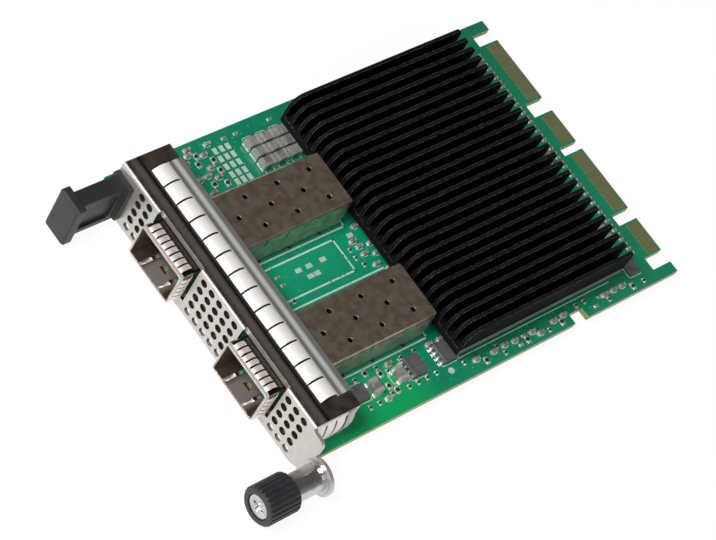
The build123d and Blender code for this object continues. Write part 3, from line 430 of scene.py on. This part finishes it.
def solder_mask_board():
    """Glossy green mask over copper and glass fibre; bare laminate on the cut edges."""
    material, tree, shader = new_material("green_solder_mask", specular=0.4, coat=0.25, coat_roughness=0.12)
    place = in_millimetres(tree)
    copper = use_group(tree, tracks, Place=place, Pitch=0.5, Cells=0.13)
    mottle = use_group(tree, grain, Place=place, Fine=2.5, Broad=0.06)
    laminate = blend_colours(tree, mottle["Broad"], (0.003, 0.300, 0.165), (0.005, 0.350, 0.190))
    poured = blend_colours(tree, mottle["Broad"], (0.004, 0.370, 0.195), (0.008, 0.440, 0.225))
    cover = maths(tree, "MAXIMUM", copper["Tracks"], product(tree, copper["Pour"], 0.5))
    green = blend_colours(tree, cover, laminate, poured)

    # Painted light and shade on the board, in millimetres on the card
    spot = axes_of(tree, place)
    # painted shade: the green darker towards the left
    painted_shade_left = between(tree, spot["X"], -34.0, -6.0, 0.55, 0.0)
    green = blend_colours(tree, painted_shade_left, green, (0.002, 0.150, 0.085))
    right_strip = between(tree, spot["X"], 25.0, 30.0)
    front_end = between(tree, spot["Y"], -82.0, -72.0, 1.0, 0.0)
    # painted light: the front of the right strip, out of the heat sink's shadow, painted brighter
    painted_light_front_right = product(tree, right_strip, front_end)
    green = blend_colours(tree, painted_light_front_right, green, (0.002, 0.380, 0.115))
    # painted shadow: the heat sink's shadow beside it and towards the contacts, painted darker
    beside_sink = product(tree, maths(tree, "SUBTRACT", right_strip, painted_light_front_right), 0.45)
    near_contacts = between(tree, spot["Y"], -16.0, -9.0, 0.0, 0.5)
    painted_sink_shadow = maths(tree, "MAXIMUM", beside_sink, near_contacts)
    green = blend_colours(tree, painted_sink_shadow, green, (0.012, 0.150, 0.062))

    cut = between(tree, maths(tree, "ABSOLUTE", facing_of(tree)["Z"]), 0.85, 0.6)
    fibre = noise(tree, in_millimetres(tree, stretch=(1.5, 1.5, 14.0)), 1.0, 4.0)
    edge = blend_colours(tree, fibre, (0.20, 0.24, 0.07), (0.42, 0.44, 0.18))
    rough = between(tree, mottle["Fine"], 0.3, 0.7, 0.22, 0.34)
    relief = bumped(tree, cover, 0.012 * mm)
    dress(tree, shader, blend_colours(tree, cut, green, edge),
          maths(tree, "ADD", rough, product(tree, cut, 0.4)),
          bumped(tree, mottle["Fine"], 0.006 * mm, relief))
    return material


def gold_contacts():
    """Gold plate with the wiping marks of earlier insertions."""
    material, tree, shader = new_material("gold_plate", metallic=0.9)
    wipes = use_group(tree, grain, Place=in_millimetres(tree, stretch=(6.0, 0.4, 1.0)), Fine=2.0, Broad=0.1)
    dress(tree, shader, blend_colours(tree, wipes["Broad"], (0.72, 0.52, 0.24), (0.86, 0.70, 0.42)),
          between(tree, wipes["Fine"], 0.3, 0.7, 0.2, 0.4), bumped(tree, wipes["Fine"], 0.008 * mm))
    return material


def small_bodies(name, first, second, roughness):
    """Fired ceramic or moulded bodies whose shade differs from one to the next."""
    material, tree, shader = new_material(name, coat=0.15)
    place = in_millimetres(tree)
    cells = node(tree, "ShaderNodeTexVoronoi", {"Vector": place, "Scale": 0.45, "Randomness": 1.0})
    pick = node(tree, "ShaderNodeSeparateColor", {"Color": cells.outputs["Color"]}).outputs["Red"]
    mottle = use_group(tree, grain, Place=place, Fine=9.0, Broad=0.8)
    shade = blend_colours(tree, pick, first, second)
    specks = between(tree, mottle["Broad"], 0.5, 0.8, 0.0, 0.35)
    edges = use_group(tree, edge_wear, Radius=0.06 * mm, Place=place)
    dress(tree, shader, blend_colours(tree, specks, shade, (0.05, 0.05, 0.05)),
          between(tree, mottle["Fine"], 0.3, 0.7, roughness - 0.08, roughness + 0.1),
          bumped(tree, mottle["Fine"], 0.01 * mm, edges["Normal"]))
    return material


def chip_with_lid():
    """Controller chip: green substrate below, nickel lid above."""
    lid_level = 1.12
    material, tree, shader = new_material("controller_package")
    above_board = axes_of(tree, in_millimetres(tree, centre=(0.0, 0.0, board_top)))["Z"]
    lid = maths(tree, "GREATER_THAN", above_board, lid_level)
    mottle = use_group(tree, grain, Place=in_millimetres(tree), Fine=4.0, Broad=0.3)
    metal = blend_colours(tree, mottle["Broad"], (0.42, 0.42, 0.42), (0.56, 0.55, 0.53))
    base = blend_colours(tree, mottle["Broad"], (0.01, 0.13, 0.06), (0.02, 0.2, 0.09))
    dress(tree, shader, blend_colours(tree, lid, base, metal),
          between(tree, mottle["Fine"], 0.3, 0.7, 0.28, 0.42), bumped(tree, mottle["Fine"], 0.01 * mm), lid)
    return material


anodised = finned_aluminium()
nickel_cage = cage_sheet()
collar_metal = plain_surface("nickel_spring_collar", (0.86, 0.78, 0.75), (0.94, 0.88, 0.85),
                             roughness=0.42, spread=0.06, depth=0.002, metallic=0.55, fine=5.0,
                             broad=0.4, wear_radius=0.05)
face_steel = folded_steel()
gasket_metal = spring_plate()
tab_plastic = plain_surface("moulded_black_tab", (0.018, 0.0185, 0.020), (0.026, 0.0265, 0.028),
                            roughness=0.5, spread=0.08, depth=0.02, fine=5.0, broad=0.2,
                            worn=(0.07, 0.07, 0.072), wear_radius=0.35)
knob_plastic = plain_surface("moulded_black_knob", (0.020, 0.019, 0.024), (0.030, 0.029, 0.035),
                             roughness=0.48, spread=0.08, depth=0.012, fine=4.0, broad=0.3,
                             worn=(0.06, 0.06, 0.063), wear_radius=0.2)
connector_plastic = plain_surface("black_connector_moulding", (0.014, 0.014, 0.014), (0.022, 0.022, 0.022),
                                  roughness=0.5, spread=0.08, depth=0.012, fine=5.0, broad=0.4)
zinc_screws = plain_surface("zinc_plated_screws", (0.50, 0.50, 0.51), (0.62, 0.62, 0.64), roughness=0.3,
                            spread=0.1, depth=0.006, metallic=1.0, fine=4.0, broad=0.6, wear_radius=0.1)
pad_rubber = plain_surface("thermal_pad", (0.34, 0.36, 0.38), (0.4, 0.42, 0.44), roughness=0.7, spread=0.06,
                           depth=0.03, fine=3.0, broad=0.4, soften=False)
chip_resin = plain_surface("black_chip_resin", (0.082, 0.088, 0.090), (0.125, 0.132, 0.134),
                           roughness=0.45, spread=0.1, depth=0.012, fine=7.0, broad=0.5,
                           worn=(0.09, 0.09, 0.09), wear_radius=0.08)
ferrite = plain_surface("ferrite_inductors", (0.075, 0.075, 0.078), (0.11, 0.11, 0.112), roughness=0.62,
                        spread=0.08, depth=0.03, fine=4.0, broad=0.5, worn=(0.2, 0.2, 0.2),
                        wear_radius=0.12)
tinned = plain_surface("tinned_copper", (0.60, 0.62, 0.61), (0.76, 0.78, 0.77), roughness=0.38, spread=0.1,
                       depth=0.01, metallic=0.6, fine=6.0, broad=0.9, wear_radius=0.05)
pad_metal = plain_surface("bright_bare_pads", (0.62, 0.80, 0.70), (0.76, 0.92, 0.83), roughness=0.4,
                          spread=0.08, depth=0.004, metallic=0.25, fine=6.0, broad=0.9, soften=False)
lid_metal = plain_surface("oscillator_lids", (0.48, 0.47, 0.44), (0.58, 0.57, 0.54), roughness=0.28,
                          spread=0.08, depth=0.006, metallic=1.0, fine=5.0, broad=0.5, wear_radius=0.1)
lamp_resin = plain_surface("clear_lamp_resin", (0.68, 0.70, 0.6), (0.76, 0.78, 0.7), roughness=0.25,
                           spread=0.08, depth=0.006, fine=5.0, broad=0.8, coat=0.4, wear_radius=0.08)
turned_steel = lathe_turned_steel()
green_mask = solder_mask_board()
gold = gold_contacts()
package = chip_with_lid()
ceramic = small_bodies("fired_ceramic", (0.22, 0.17, 0.11), (0.38, 0.33, 0.25), roughness=0.42)
tantalum = small_bodies("moulded_capacitors", (0.18, 0.17, 0.15), (0.32, 0.31, 0.285), roughness=0.45)
resistor_glass = small_bodies("resistor_glaze", (0.012, 0.012, 0.015), (0.03, 0.03, 0.035), roughness=0.3)
ink = plain_surface("white_ink", (0.56, 0.82, 0.70), (0.72, 0.93, 0.83), roughness=0.55, spread=0.08,
                    depth=0.004, fine=8.0, broad=1.2, soften=False)
tented = plain_surface("masked_vias", (0.006, 0.36, 0.18), (0.012, 0.46, 0.24), roughness=0.28, spread=0.08,
                       depth=0.004, fine=6.0, broad=0.5, coat=0.3, soften=False)

finishes = {
    green_mask: ["circuit_board"],
    gold: ["edge_contacts_top", "edge_contacts_bottom"],
    anodised: ["heat_sink"],
    zinc_screws: ["heat_sink_screws", "faceplate_screws", "pull_tab_screws", "screw_spring"],
    package: ["controller_chip"],
    pad_rubber: ["thermal_pad"],
    nickel_cage: ["left_cage", "right_cage"],
    collar_metal: ["left_cage_collar", "right_cage_collar"],
    connector_plastic: ["left_connector", "right_connector"],
    face_steel: ["faceplate"],
    gasket_metal: ["top_gasket", "left_gasket", "right_gasket"],
    tab_plastic: ["pull_tab"],
    knob_plastic: ["thumbscrew_knob"],
    turned_steel: ["thumbscrew_shaft", "screw_ferrule", "retaining_ring"],
    tantalum: ["bulk_capacitors"],
    ceramic: ["ceramic_capacitors"],
    resistor_glass: ["chip_resistors"],
    tinned: ["part_terminals", "chip_leads"],
    pad_metal: ["bare_pads"],
    chip_resin: ["leaded_chips", "flat_chips"],
    ferrite: ["power_inductors"],
    lid_metal: ["oscillators"],
    lamp_resin: ["status_lights"],
}
for material, names in finishes.items():
    for name in names:
        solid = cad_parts[name].data
        solid.materials.clear()
        solid.materials.append(material)


# Pieces

def place_piece(name, mesh, material, body):
    """Object at the origin that rides on a body."""
    piece = bpy.data.objects.new(name, mesh)
    bpy.context.scene.collection.objects.link(piece)
    mesh.materials.clear()
    mesh.materials.append(material)
    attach(piece, body)
    return piece


def mesh_of(name, shape):
    """Plain mesh from an edited shape, which is freed."""
    mesh = bpy.data.meshes.new(name)
    shape.to_mesh(mesh)
    shape.free()
    return mesh


def solids_of(name):
    """Lowest and highest corner of each separate solid in a CAD node."""
    shape = bmesh.new()
    shape.from_mesh(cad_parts[name].data)
    bmesh.ops.remove_doubles(shape, verts=shape.verts, dist=1e-6)
    boxes = []
    waiting = set(shape.verts)
    while waiting:
        island = [waiting.pop()]
        for vertex in island:
            for edge in vertex.link_edges:
                other = edge.other_vert(vertex)
                if other in waiting:
                    waiting.remove(other)
                    island.append(other)
        corners = list(zip(*[v.co for v in island]))
        boxes.append((Vector(min(c) for c in corners), Vector(max(c) for c in corners)))
    shape.free()
    return boxes


def new_piece_tree(name, sizes):
    """Geometry Nodes tree with named sizes and a finish; gives the tree and its inputs."""
    tree = bpy.data.node_groups.new(name + "_tree", "GeometryNodeTree")
    sockets = tree.interface
    sockets.new_socket("Geometry", in_out="INPUT", socket_type="NodeSocketGeometry")
    for label, value in sizes.items():
        sockets.new_socket(label, in_out="INPUT", socket_type="NodeSocketFloat").default_value = value
    sockets.new_socket("Finish", in_out="INPUT", socket_type="NodeSocketMaterial")
    sockets.new_socket("Geometry", in_out="OUTPUT", socket_type="NodeSocketGeometry")
    return tree, tree.nodes.new("NodeGroupInput").outputs


def end_tree(tree, given, geometry):
    """Realizes what the tree has made and gives it its finish."""
    solid = node(tree, "GeometryNodeRealizeInstances", {"Geometry": geometry})
    dressed = node(tree, "GeometryNodeSetMaterial", {"Geometry": solid.outputs[0],
                                                     "Material": given["Finish"]})
    join(tree, tree.nodes.new("NodeGroupOutput").inputs["Geometry"], dressed.outputs[0])


def finished_mesh(start, tree, values):
    """Runs a tree on a start mesh, with its inputs by name, and gives the plain mesh."""
    carrier = bpy.data.objects.new(start.name + "_carrier", start)
    bpy.context.scene.collection.objects.link(carrier)
    modifier = carrier.modifiers.new("tree", "NODES")
    modifier.node_group = tree
    for item in tree.interface.items_tree:
        if item.item_type == "SOCKET" and item.in_out == "INPUT" and item.name in values:
            modifier[item.identifier] = values[item.name]
    graph = bpy.context.evaluated_depsgraph_get()
    mesh = bpy.data.meshes.new_from_object(carrier.evaluated_get(graph), depsgraph=graph)
    carrier.modifiers.remove(modifier)
    bpy.data.objects.remove(carrier)
    return mesh


def copies_on_points(name, points, build_copy, inputs, material, turns=None, sizes=None):
    """Piece of the card made by Geometry Nodes: a copy of a small shape on each point."""
    start = bpy.data.meshes.new(name + "_points")
    start.from_pydata([tuple(p) for p in points], [], [])
    tree, given = new_piece_tree(name, inputs)
    copies = node(tree, "GeometryNodeInstanceOnPoints", {"Points": given["Geometry"],
                                                         "Instance": build_copy(tree, given)})
    for label, socket, values in (("turn", "Rotation", turns), ("size", "Scale", sizes)):
        if values is not None:
            layer = start.attributes.new(label, "FLOAT_VECTOR", "POINT")
            layer.data.foreach_set("vector", [v for value in values for v in value])
            stored = node(tree, "GeometryNodeInputNamedAttribute", {"Name": label}, data_type="FLOAT_VECTOR")
            join(tree, copies.inputs[socket], stored.outputs["Attribute"])
    end_tree(tree, given, copies.outputs[0])
    mesh = finished_mesh(start, tree, {**inputs, "Finish": material})
    place_piece(name, mesh, material, "card")


def cone_of(tree, given, sides):
    """Flat-topped cone whose foot, top and height are named inputs."""
    cone = node(tree, "GeometryNodeMeshCone", {"Vertices": sides, "Radius Top": given["Top Radius"],
                                               "Radius Bottom": given["Radius"], "Depth": given["Height"]})
    return cone.outputs["Mesh"]


def round_button(sides):
    """Builder of a flat-topped button with so many sides."""
    def build(tree, given):
        return cone_of(tree, given, sides)
    return build


def square_button(tree, given):
    """Four-sided block of side one at its foot, to be stretched over a terminal's foot."""
    turned = node(tree, "GeometryNodeTransform", {"Geometry": cone_of(tree, given, 4),
                                                  "Rotation": (0.0, 0.0, math.pi / 4)})
    return turned.outputs["Geometry"]


def plain_block(tree, given):
    """Block of side one, to be stretched."""
    return node(tree, "GeometryNodeMeshCube", {"Size": (1.0, 1.0, 1.0)}).outputs["Mesh"]


def facing_away(points):
    """Turns for copies that stand on the board's top and hang from its underside."""
    return [(0.0 if point[2] > 0 else math.pi, 0.0, 0.0) for point in points]


def spread(first, last, count):
    """Evenly spaced numbers from the first to the last."""
    return [first + i * (last - first) / (count - 1) for i in range(count)]


def masked_vias():
    """Small masked plated holes scattered between the parts on both faces, on a fixed seed."""
    # Left, front, right and rear end of each open field, in millimetres
    fields = [(-37.0, -113.0, -27.0, -68.0), (-5.4, -101.0, 8.6, -69.0), (26.0, -76.0, 37.0, -35.5),
              (26.0, -35.5, 34.2, -28.5), (26.0, -28.5, 37.0, -18.0), (-37.0, -66.0, -34.0, -18.0),
              (-33.0, -17.0, 33.0, -8.5)]
    step = 1.35
    share = 0.3
    seed = 11
    toss = random.Random(seed)
    points = []
    for level in (board_top, board_bottom):
        for x0, y0, x1, y1 in fields:
            for i in range(int((x1 - x0) / step)):
                for j in range(int((y1 - y0) / step)):
                    if toss.random() < share:
                        x = x0 + (i + toss.uniform(0.35, 0.65)) * step
                        points.append((x * mm, (y0 + (j + 0.5) * step) * mm, level))
    shape = {"Radius": 0.27 * mm, "Top Radius": 0.16 * mm, "Height": 0.05 * mm}
    copies_on_points("masked_vias", points, round_button(sides=8), shape, tented,
                     turns=facing_away(points))


def strip(shape, a, b, width, level, up=1):
    """Flat line of ink from a to b, in millimetres, on a face of the board."""
    a, b = Vector(a), Vector(b)
    along = (b - a).normalized() * (width / 2)
    side = Vector((-along.y, along.x))
    corners = [a - along - side, b + along - side, b + along + side, a - along + side]
    if up < 0:
        corners.reverse()
    shape.faces.new([shape.verts.new((c.x * mm, c.y * mm, level)) for c in corners])


def outline(shape, x0, y0, x1, y1, width, level, up=1):
    """Four lines of ink round a rectangle."""
    for a, b in (((x0, y0), (x1, y0)), ((x1, y0), (x1, y1)), ((x1, y1), (x0, y1)), ((x0, y1), (x0, y0))):
        strip(shape, a, b, width, level, up)


def inked_face(low):
    """Level and side of the board's face that a part stands on, just clear of the mask."""
    return (board_top + ink_clear, 1) if low.z > 0 else (board_bottom - ink_clear, -1)


def white_lines():
    """Assembly lines printed on the board: round the cages, the chips and the larger parts."""
    wide, narrow, fine = 0.42, 0.3, 0.16
    cage_side_gap, cage_rear_gap, cage_line_front = 0.85, 0.7, -103.0
    between_cages = (-3.7, -101.5, 4.8, -74.5)
    cage_side_line = ((7.0, -101.0), (7.0, -68.0))
    cap_gap = 1.15          # beyond the end caps of the bulk capacitors
    beside_part = 0.25
    shortest_marked = 0.7
    top = board_top + ink_clear
    shape = bmesh.new()
    for name in ("left_cage", "right_cage"):
        low, high = (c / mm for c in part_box(name))
        outline(shape, low.x - cage_side_gap, cage_line_front, high.x + cage_side_gap,
                high.y + cage_rear_gap, wide, top)
    outline(shape, *between_cages, wide, top)
    strip(shape, *cage_side_line, wide, top)
    beside_sink = sink_high.x / mm - 0.1
    strip(shape, (beside_sink, sink_low.y / mm + 2.0), (beside_sink, sink_high.y / mm - 2.0), narrow, top)
    for name in ("bulk_capacitors", "leaded_chips", "flat_chips", "power_inductors", "oscillators"):
        for low, high in solids_of(name):
            level, up = inked_face(low)
            low, high = low / mm, high / mm
            gap_x = gap_y = narrow
            if name == "bulk_capacitors" and high.x - low.x > high.y - low.y:
                gap_x = cap_gap
            elif name == "bulk_capacitors":
                gap_y = cap_gap
            outline(shape, low.x - gap_x, low.y - gap_y, high.x + gap_x, high.y + gap_y, fine, level, up)
    for name in ("ceramic_capacitors", "chip_resistors"):
        for low, high in solids_of(name):
            level, up = inked_face(low)
            low, high = low / mm, high / mm
            size = high - low
            if max(size.x, size.y) < shortest_marked:
                continue
            if size.x > size.y:
                for y in (low.y - beside_part, high.y + beside_part):
                    strip(shape, (low.x, y), (high.x, y), fine, level, up)
            else:
                for x in (low.x - beside_part, high.x + beside_part):
                    strip(shape, (x, low.y), (x, high.y), fine, level, up)
    place_piece("white_lines", mesh_of("white_lines", shape), ink, "card")


def ink_dots():
    """Dots of ink beside the first pin of each chip."""
    points = []
    for name in ("leaded_chips", "flat_chips"):
        for low, _ in solids_of(name):
            points.append((low.x - 0.62 * mm, low.y - 0.1 * mm, inked_face(low)[0]))
    shape = {"Radius": 0.24 * mm, "Top Radius": 0.22 * mm, "Height": 0.01 * mm}
    copies_on_points("ink_dots", points, round_button(sides=16), shape, ink,
                     turns=facing_away(points))


def chip_dimples():
    """Moulded dots on the chips' own tops, near the first pin."""
    inset = 0.75 * mm
    points = []
    for name in ("leaded_chips", "flat_chips"):
        for low, high in solids_of(name):
            points.append((low.x + inset, low.y + inset, high.z if low.z > 0 else low.z))
    shape = {"Radius": 0.3 * mm, "Top Radius": 0.26 * mm, "Height": 0.02 * mm}
    copies_on_points("chip_dimples", points, round_button(sides=16), shape, ferrite,
                     turns=facing_away(points))


def terminal_solder():
    """Sloped solder at the foot of every end cap and lead."""
    skirt = 0.16 * mm
    foot_radius = math.sqrt(0.5)    # of a square of side one
    points, sizes = [], []
    for name in ("part_terminals", "chip_leads"):
        for low, high in solids_of(name):
            middle = (low + high) / 2
            points.append((middle.x, middle.y, board_top if low.z > 0 else board_bottom))
            sizes.append((high.x - low.x + 2 * skirt, high.y - low.y + 2 * skirt, 1.0))
    shape = {"Radius": foot_radius, "Top Radius": foot_radius * 0.8, "Height": 0.14 * mm}
    copies_on_points("terminal_solder", points, square_button, shape, tinned,
                     turns=facing_away(points), sizes=sizes)


def leg_solder():
    """Cones of solder round the cages' legs under the board."""
    leg_rows = 5
    first_leg = board_low.y + 2.4 * mm
    last_leg_inset = 5.6 * mm
    half_sheet = 0.175 * mm
    points = []
    for name in ("left_cage", "right_cage"):
        low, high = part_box(name)
        rows = spread(first_leg, high.y - last_leg_inset, leg_rows)
        for x in (low.x + half_sheet, high.x - half_sheet):
            points += [(x, y, board_bottom) for y in rows]
    shape = {"Radius": 0.95 * mm, "Top Radius": 0.32 * mm, "Height": 0.8 * mm}
    copies_on_points("leg_solder", points, round_button(sides=20), shape, tinned,
                     turns=facing_away(points))


def screw_lands():
    """Tinned rings on the board's underside that the screw heads sit in."""
    points = []
    for name in ("heat_sink_screws", "faceplate_screws"):
        for low, high in solids_of(name):
            middle = (low + high) / 2
            points.append((middle.x, middle.y, board_bottom))
    shape = {"Radius": 2.35 * mm, "Top Radius": 2.3 * mm, "Height": 0.06 * mm}
    copies_on_points("screw_lands", points, round_button(sides=40), shape, tinned,
                     turns=facing_away(points))


def port_contacts():
    """Gold springs in two rows in the slot of each host connector."""
    per_row = 10
    pitch = 0.8 * mm
    slot_middle = board_top + 3.6 * mm
    off_middle = 0.57 * mm
    behind_front = 2.7 * mm
    spring = (0.38 * mm, 5.0 * mm, 0.16 * mm)
    points = []
    for name in ("left_connector", "right_connector"):
        low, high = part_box(name)
        middle = (low.x + high.x) / 2
        for level in (slot_middle - off_middle, slot_middle + off_middle):
            for i in range(per_row):
                points.append((middle + (i - (per_row - 1) / 2) * pitch, low.y + behind_front, level))
    copies_on_points("port_contacts", points, plain_block, {}, gold,
                     sizes=[spring] * len(points))


def cover_tabs():
    """Snap tabs of each cage's cover, bent down over the side walls, each with a raised catch."""
    per_side = 5
    proud = 0.06 * mm
    first_tab = face_front + 16.0 * mm
    last_tab_inset = 4.0 * mm
    tab_drop, catch_drop = 1.9 * mm, 2.5 * mm
    tab = (0.12 * mm, 4.2 * mm, 2.4 * mm)
    catch = (0.3 * mm, 1.4 * mm, 0.5 * mm)
    points, sizes = [], []
    for name in ("left_cage", "right_cage"):
        low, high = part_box(name)
        for x in (low.x - proud, high.x + proud):
            for y in spread(first_tab, high.y - last_tab_inset, per_side):
                points += [(x, y, high.z - tab_drop), (x, y, high.z - catch_drop)]
                sizes += [tab, catch]
    copies_on_points("cover_tabs", points, plain_block, {}, nickel_cage, sizes=sizes)


def screw_thread():
    """Ridge of the screw's thread, wound about the plain end of the shaft."""
    pitch, root, crest, flank = 0.5, 1.49, 1.59, 0.2
    before_face, bare_tip = 6.7, 0.5
    start = face_front / mm - before_face
    end = shaft_high.y / mm - bare_tip
    steps = 24
    turns = int((end - start) / pitch)
    shape = bmesh.new()
    rings = []
    for i in range(turns * steps + 1):
        angle = 2 * math.pi * i / steps
        y = start + pitch * i / steps
        ring = []
        for radius, shift in ((root, -flank), (crest, 0.0), (root, flank)):
            ring.append(shape.verts.new((screw_axis[0] + radius * math.cos(angle) * mm, (y + shift) * mm,
                                         screw_axis[1] + radius * math.sin(angle) * mm)))
        rings.append(ring)
    for a, b in zip(rings, rings[1:]):
        for k in range(3):
            shape.faces.new((a[k], a[(k + 1) % 3], b[(k + 1) % 3], b[k]))
    shape.faces.new(rings[0])
    shape.faces.new(rings[-1])
    bmesh.ops.recalc_face_normals(shape, faces=shape.faces)
    place_piece("screw_thread", mesh_of("screw_thread", shape), turned_steel, "thumbscrew")


def coiled_spring():
    """Spring between the ferrule's floor and the ring, built at its rest length; the real one is pressed
    together as the screw slides in.
    """
    wire = 0.34 * mm
    low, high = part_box("screw_spring")
    middle = (low + high) / 2
    rest = high.y - low.y
    sizes = {"Turns": 5.0, "Coil Radius": (high.x - low.x - wire) / 2, "Wire Radius": wire / 2,
             "Length": rest - wire}
    tree, given = new_piece_tree("coiled_spring", sizes)
    path = node(tree, "GeometryNodeCurveSpiral", {"Resolution": 32, "Rotations": given["Turns"],
                                                  "Start Radius": given["Coil Radius"],
                                                  "End Radius": given["Coil Radius"],
                                                  "Height": given["Length"]})
    lying = node(tree, "GeometryNodeTransform", {"Geometry": path.outputs[0],
                                                 "Rotation": (-math.pi / 2, 0.0, 0.0),
                                                 "Translation": (middle.x, low.y + wire / 2, middle.z)})
    section = node(tree, "GeometryNodeCurvePrimitiveCircle", {"Resolution": 10,
                                                              "Radius": given["Wire Radius"]})
    swept = node(tree, "GeometryNodeCurveToMesh", {"Curve": lying.outputs[0],
                                                   "Profile Curve": section.outputs["Curve"],
                                                   "Fill Caps": True})
    end_tree(tree, given, swept.outputs[0])
    start = bpy.data.meshes.new("coiled_spring_start")
    mesh = finished_mesh(start, tree, {**sizes, "Finish": zinc_screws})
    piece = place_piece("coiled_spring", mesh, zinc_screws, "card")
    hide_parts("screw_spring")
    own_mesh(piece)


masked_vias()
white_lines()
ink_dots()
chip_dimples()
terminal_solder()
leg_solder()
screw_lands()
port_contacts()
cover_tabs()
screw_thread()
coiled_spring()


# Stage, lights and camera

floor_level = cad_box[0][2]
floor_reach = 3.0
floor_mesh = bpy.data.meshes.new("floor")
floor_mesh.from_pydata([(x * floor_reach, y * floor_reach, floor_level)
                        for x, y in ((-1, -1), (1, -1), (1, 1), (-1, 1))], [], [(0, 1, 2, 3)])
floor = bpy.data.objects.new("floor", floor_mesh)
bpy.context.scene.collection.objects.link(floor)

paper = bpy.data.materials.new("white_paper")
paper.use_nodes = True
paper_tree = paper.node_tree
matte = paper_tree.nodes["Principled BSDF"]
matte.inputs["Base Color"].default_value = (0.9, 0.9, 0.9, 1)
matte.inputs["Roughness"].default_value = 1.0
matte.inputs["Specular IOR Level"].default_value = 0.0
white_share = 0.86      # what is left of the paper's own shade keeps the card's shadow
rays = node(paper_tree, "ShaderNodeLightPath").outputs
mirrored = maths(paper_tree, "MAXIMUM", rays["Is Glossy Ray"], rays["Is Transmission Ray"])
seen = maths(paper_tree, "MAXIMUM", rays["Is Camera Ray"], mirrored)
white = node(paper_tree, "ShaderNodeEmission", {"Color": (1, 1, 1, 1), "Strength": 1.06})
mixed = node(paper_tree, "ShaderNodeMixShader", {0: product(paper_tree, seen, white_share),
                                                 1: matte.outputs[0], 2: white.outputs[0]})
join(paper_tree, paper_tree.nodes["Material Output"].inputs["Surface"], mixed.outputs[0])
floor_mesh.materials.append(paper)

world = bpy.data.worlds.new("studio")
bpy.context.scene.world = world
world.use_nodes = True
sky = world.node_tree
sky_way = axes_of(sky, node(sky, "ShaderNodeTexCoord").outputs["Generated"])
overhead = between(sky, sky_way["Z"], 0.12, 0.62)
behind_card = between(sky, sky_way["Y"], -0.1, 0.55)
horizon = blend_colours(sky, behind_card, (0.95, 0.95, 0.95), (0.28, 0.28, 0.28))
dome = blend_colours(sky, overhead, horizon, (0.13, 0.115, 0.10))
camera_ray = node(sky, "ShaderNodeLightPath").outputs["Is Camera Ray"]
join(sky, sky.nodes["Background"].inputs["Color"], blend_colours(sky, camera_ray, dome, (1, 1, 1)))


def softbox(name, direction, distance, size, watts):
    """Area lamp that looks at the middle of the card."""
    lamp = bpy.data.lights.new(name, "AREA")
    lamp.energy = watts
    lamp.size = size
    holder = bpy.data.objects.new(name, lamp)
    bpy.context.scene.collection.objects.link(holder)
    middle = Vector((0.0, -0.06, 0.0))
    holder.location = middle + Vector(direction).normalized() * distance
    holder.rotation_euler = (holder.location - middle).to_track_quat("Z", "Y").to_euler()


softbox("key_light", (-0.12, -0.75, 0.95), distance=0.9, size=0.3, watts=5.5)
softbox("fill_light", (0.9, -0.5, 0.8), distance=1.0, size=0.6, watts=2.0)

# The camera looks at a place on the card, which falls on a pixel of the picture
azimuth, elevation, roll = (math.radians(a) for a in (24.30, 50.06, 34.30))
camera_distance = 0.61539
focal_pixels = 2801.53
picture_width, picture_height = 716, 540
sensor_width = 36.0
aim = Vector((0.0, -0.058, 0.000785))
aim_pixel = (397.78, 227.44)
back = Vector((math.sin(azimuth) * math.cos(elevation), -math.cos(azimuth) * math.cos(elevation),
               math.sin(elevation)))
level_right = (-back).cross(Vector((0, 0, 1))).normalized()
level_up = level_right.cross(-back)
right = math.cos(roll) * level_right + math.sin(roll) * level_up
up = -math.sin(roll) * level_right + math.cos(roll) * level_up
pixel = camera_distance / focal_pixels
eye = (aim + back * camera_distance - right * (aim_pixel[0] - picture_width / 2) * pixel
       + up * (aim_pixel[1] - picture_height / 2) * pixel)
camera_data = bpy.data.cameras.new("camera")
camera_data.sensor_width = sensor_width
camera_data.lens = focal_pixels / picture_width * sensor_width
camera_data.clip_start = 0.01
camera = bpy.data.objects.new("camera", camera_data)
bpy.context.scene.collection.objects.link(camera)
camera.matrix_world = Matrix(((right.x, up.x, back.x, eye.x), (right.y, up.y, back.y, eye.y),
                              (right.z, up.z, back.z, eye.z), (0, 0, 0, 1)))
bpy.context.scene.camera = camera
bpy.context.scene.view_settings.view_transform = "Standard"
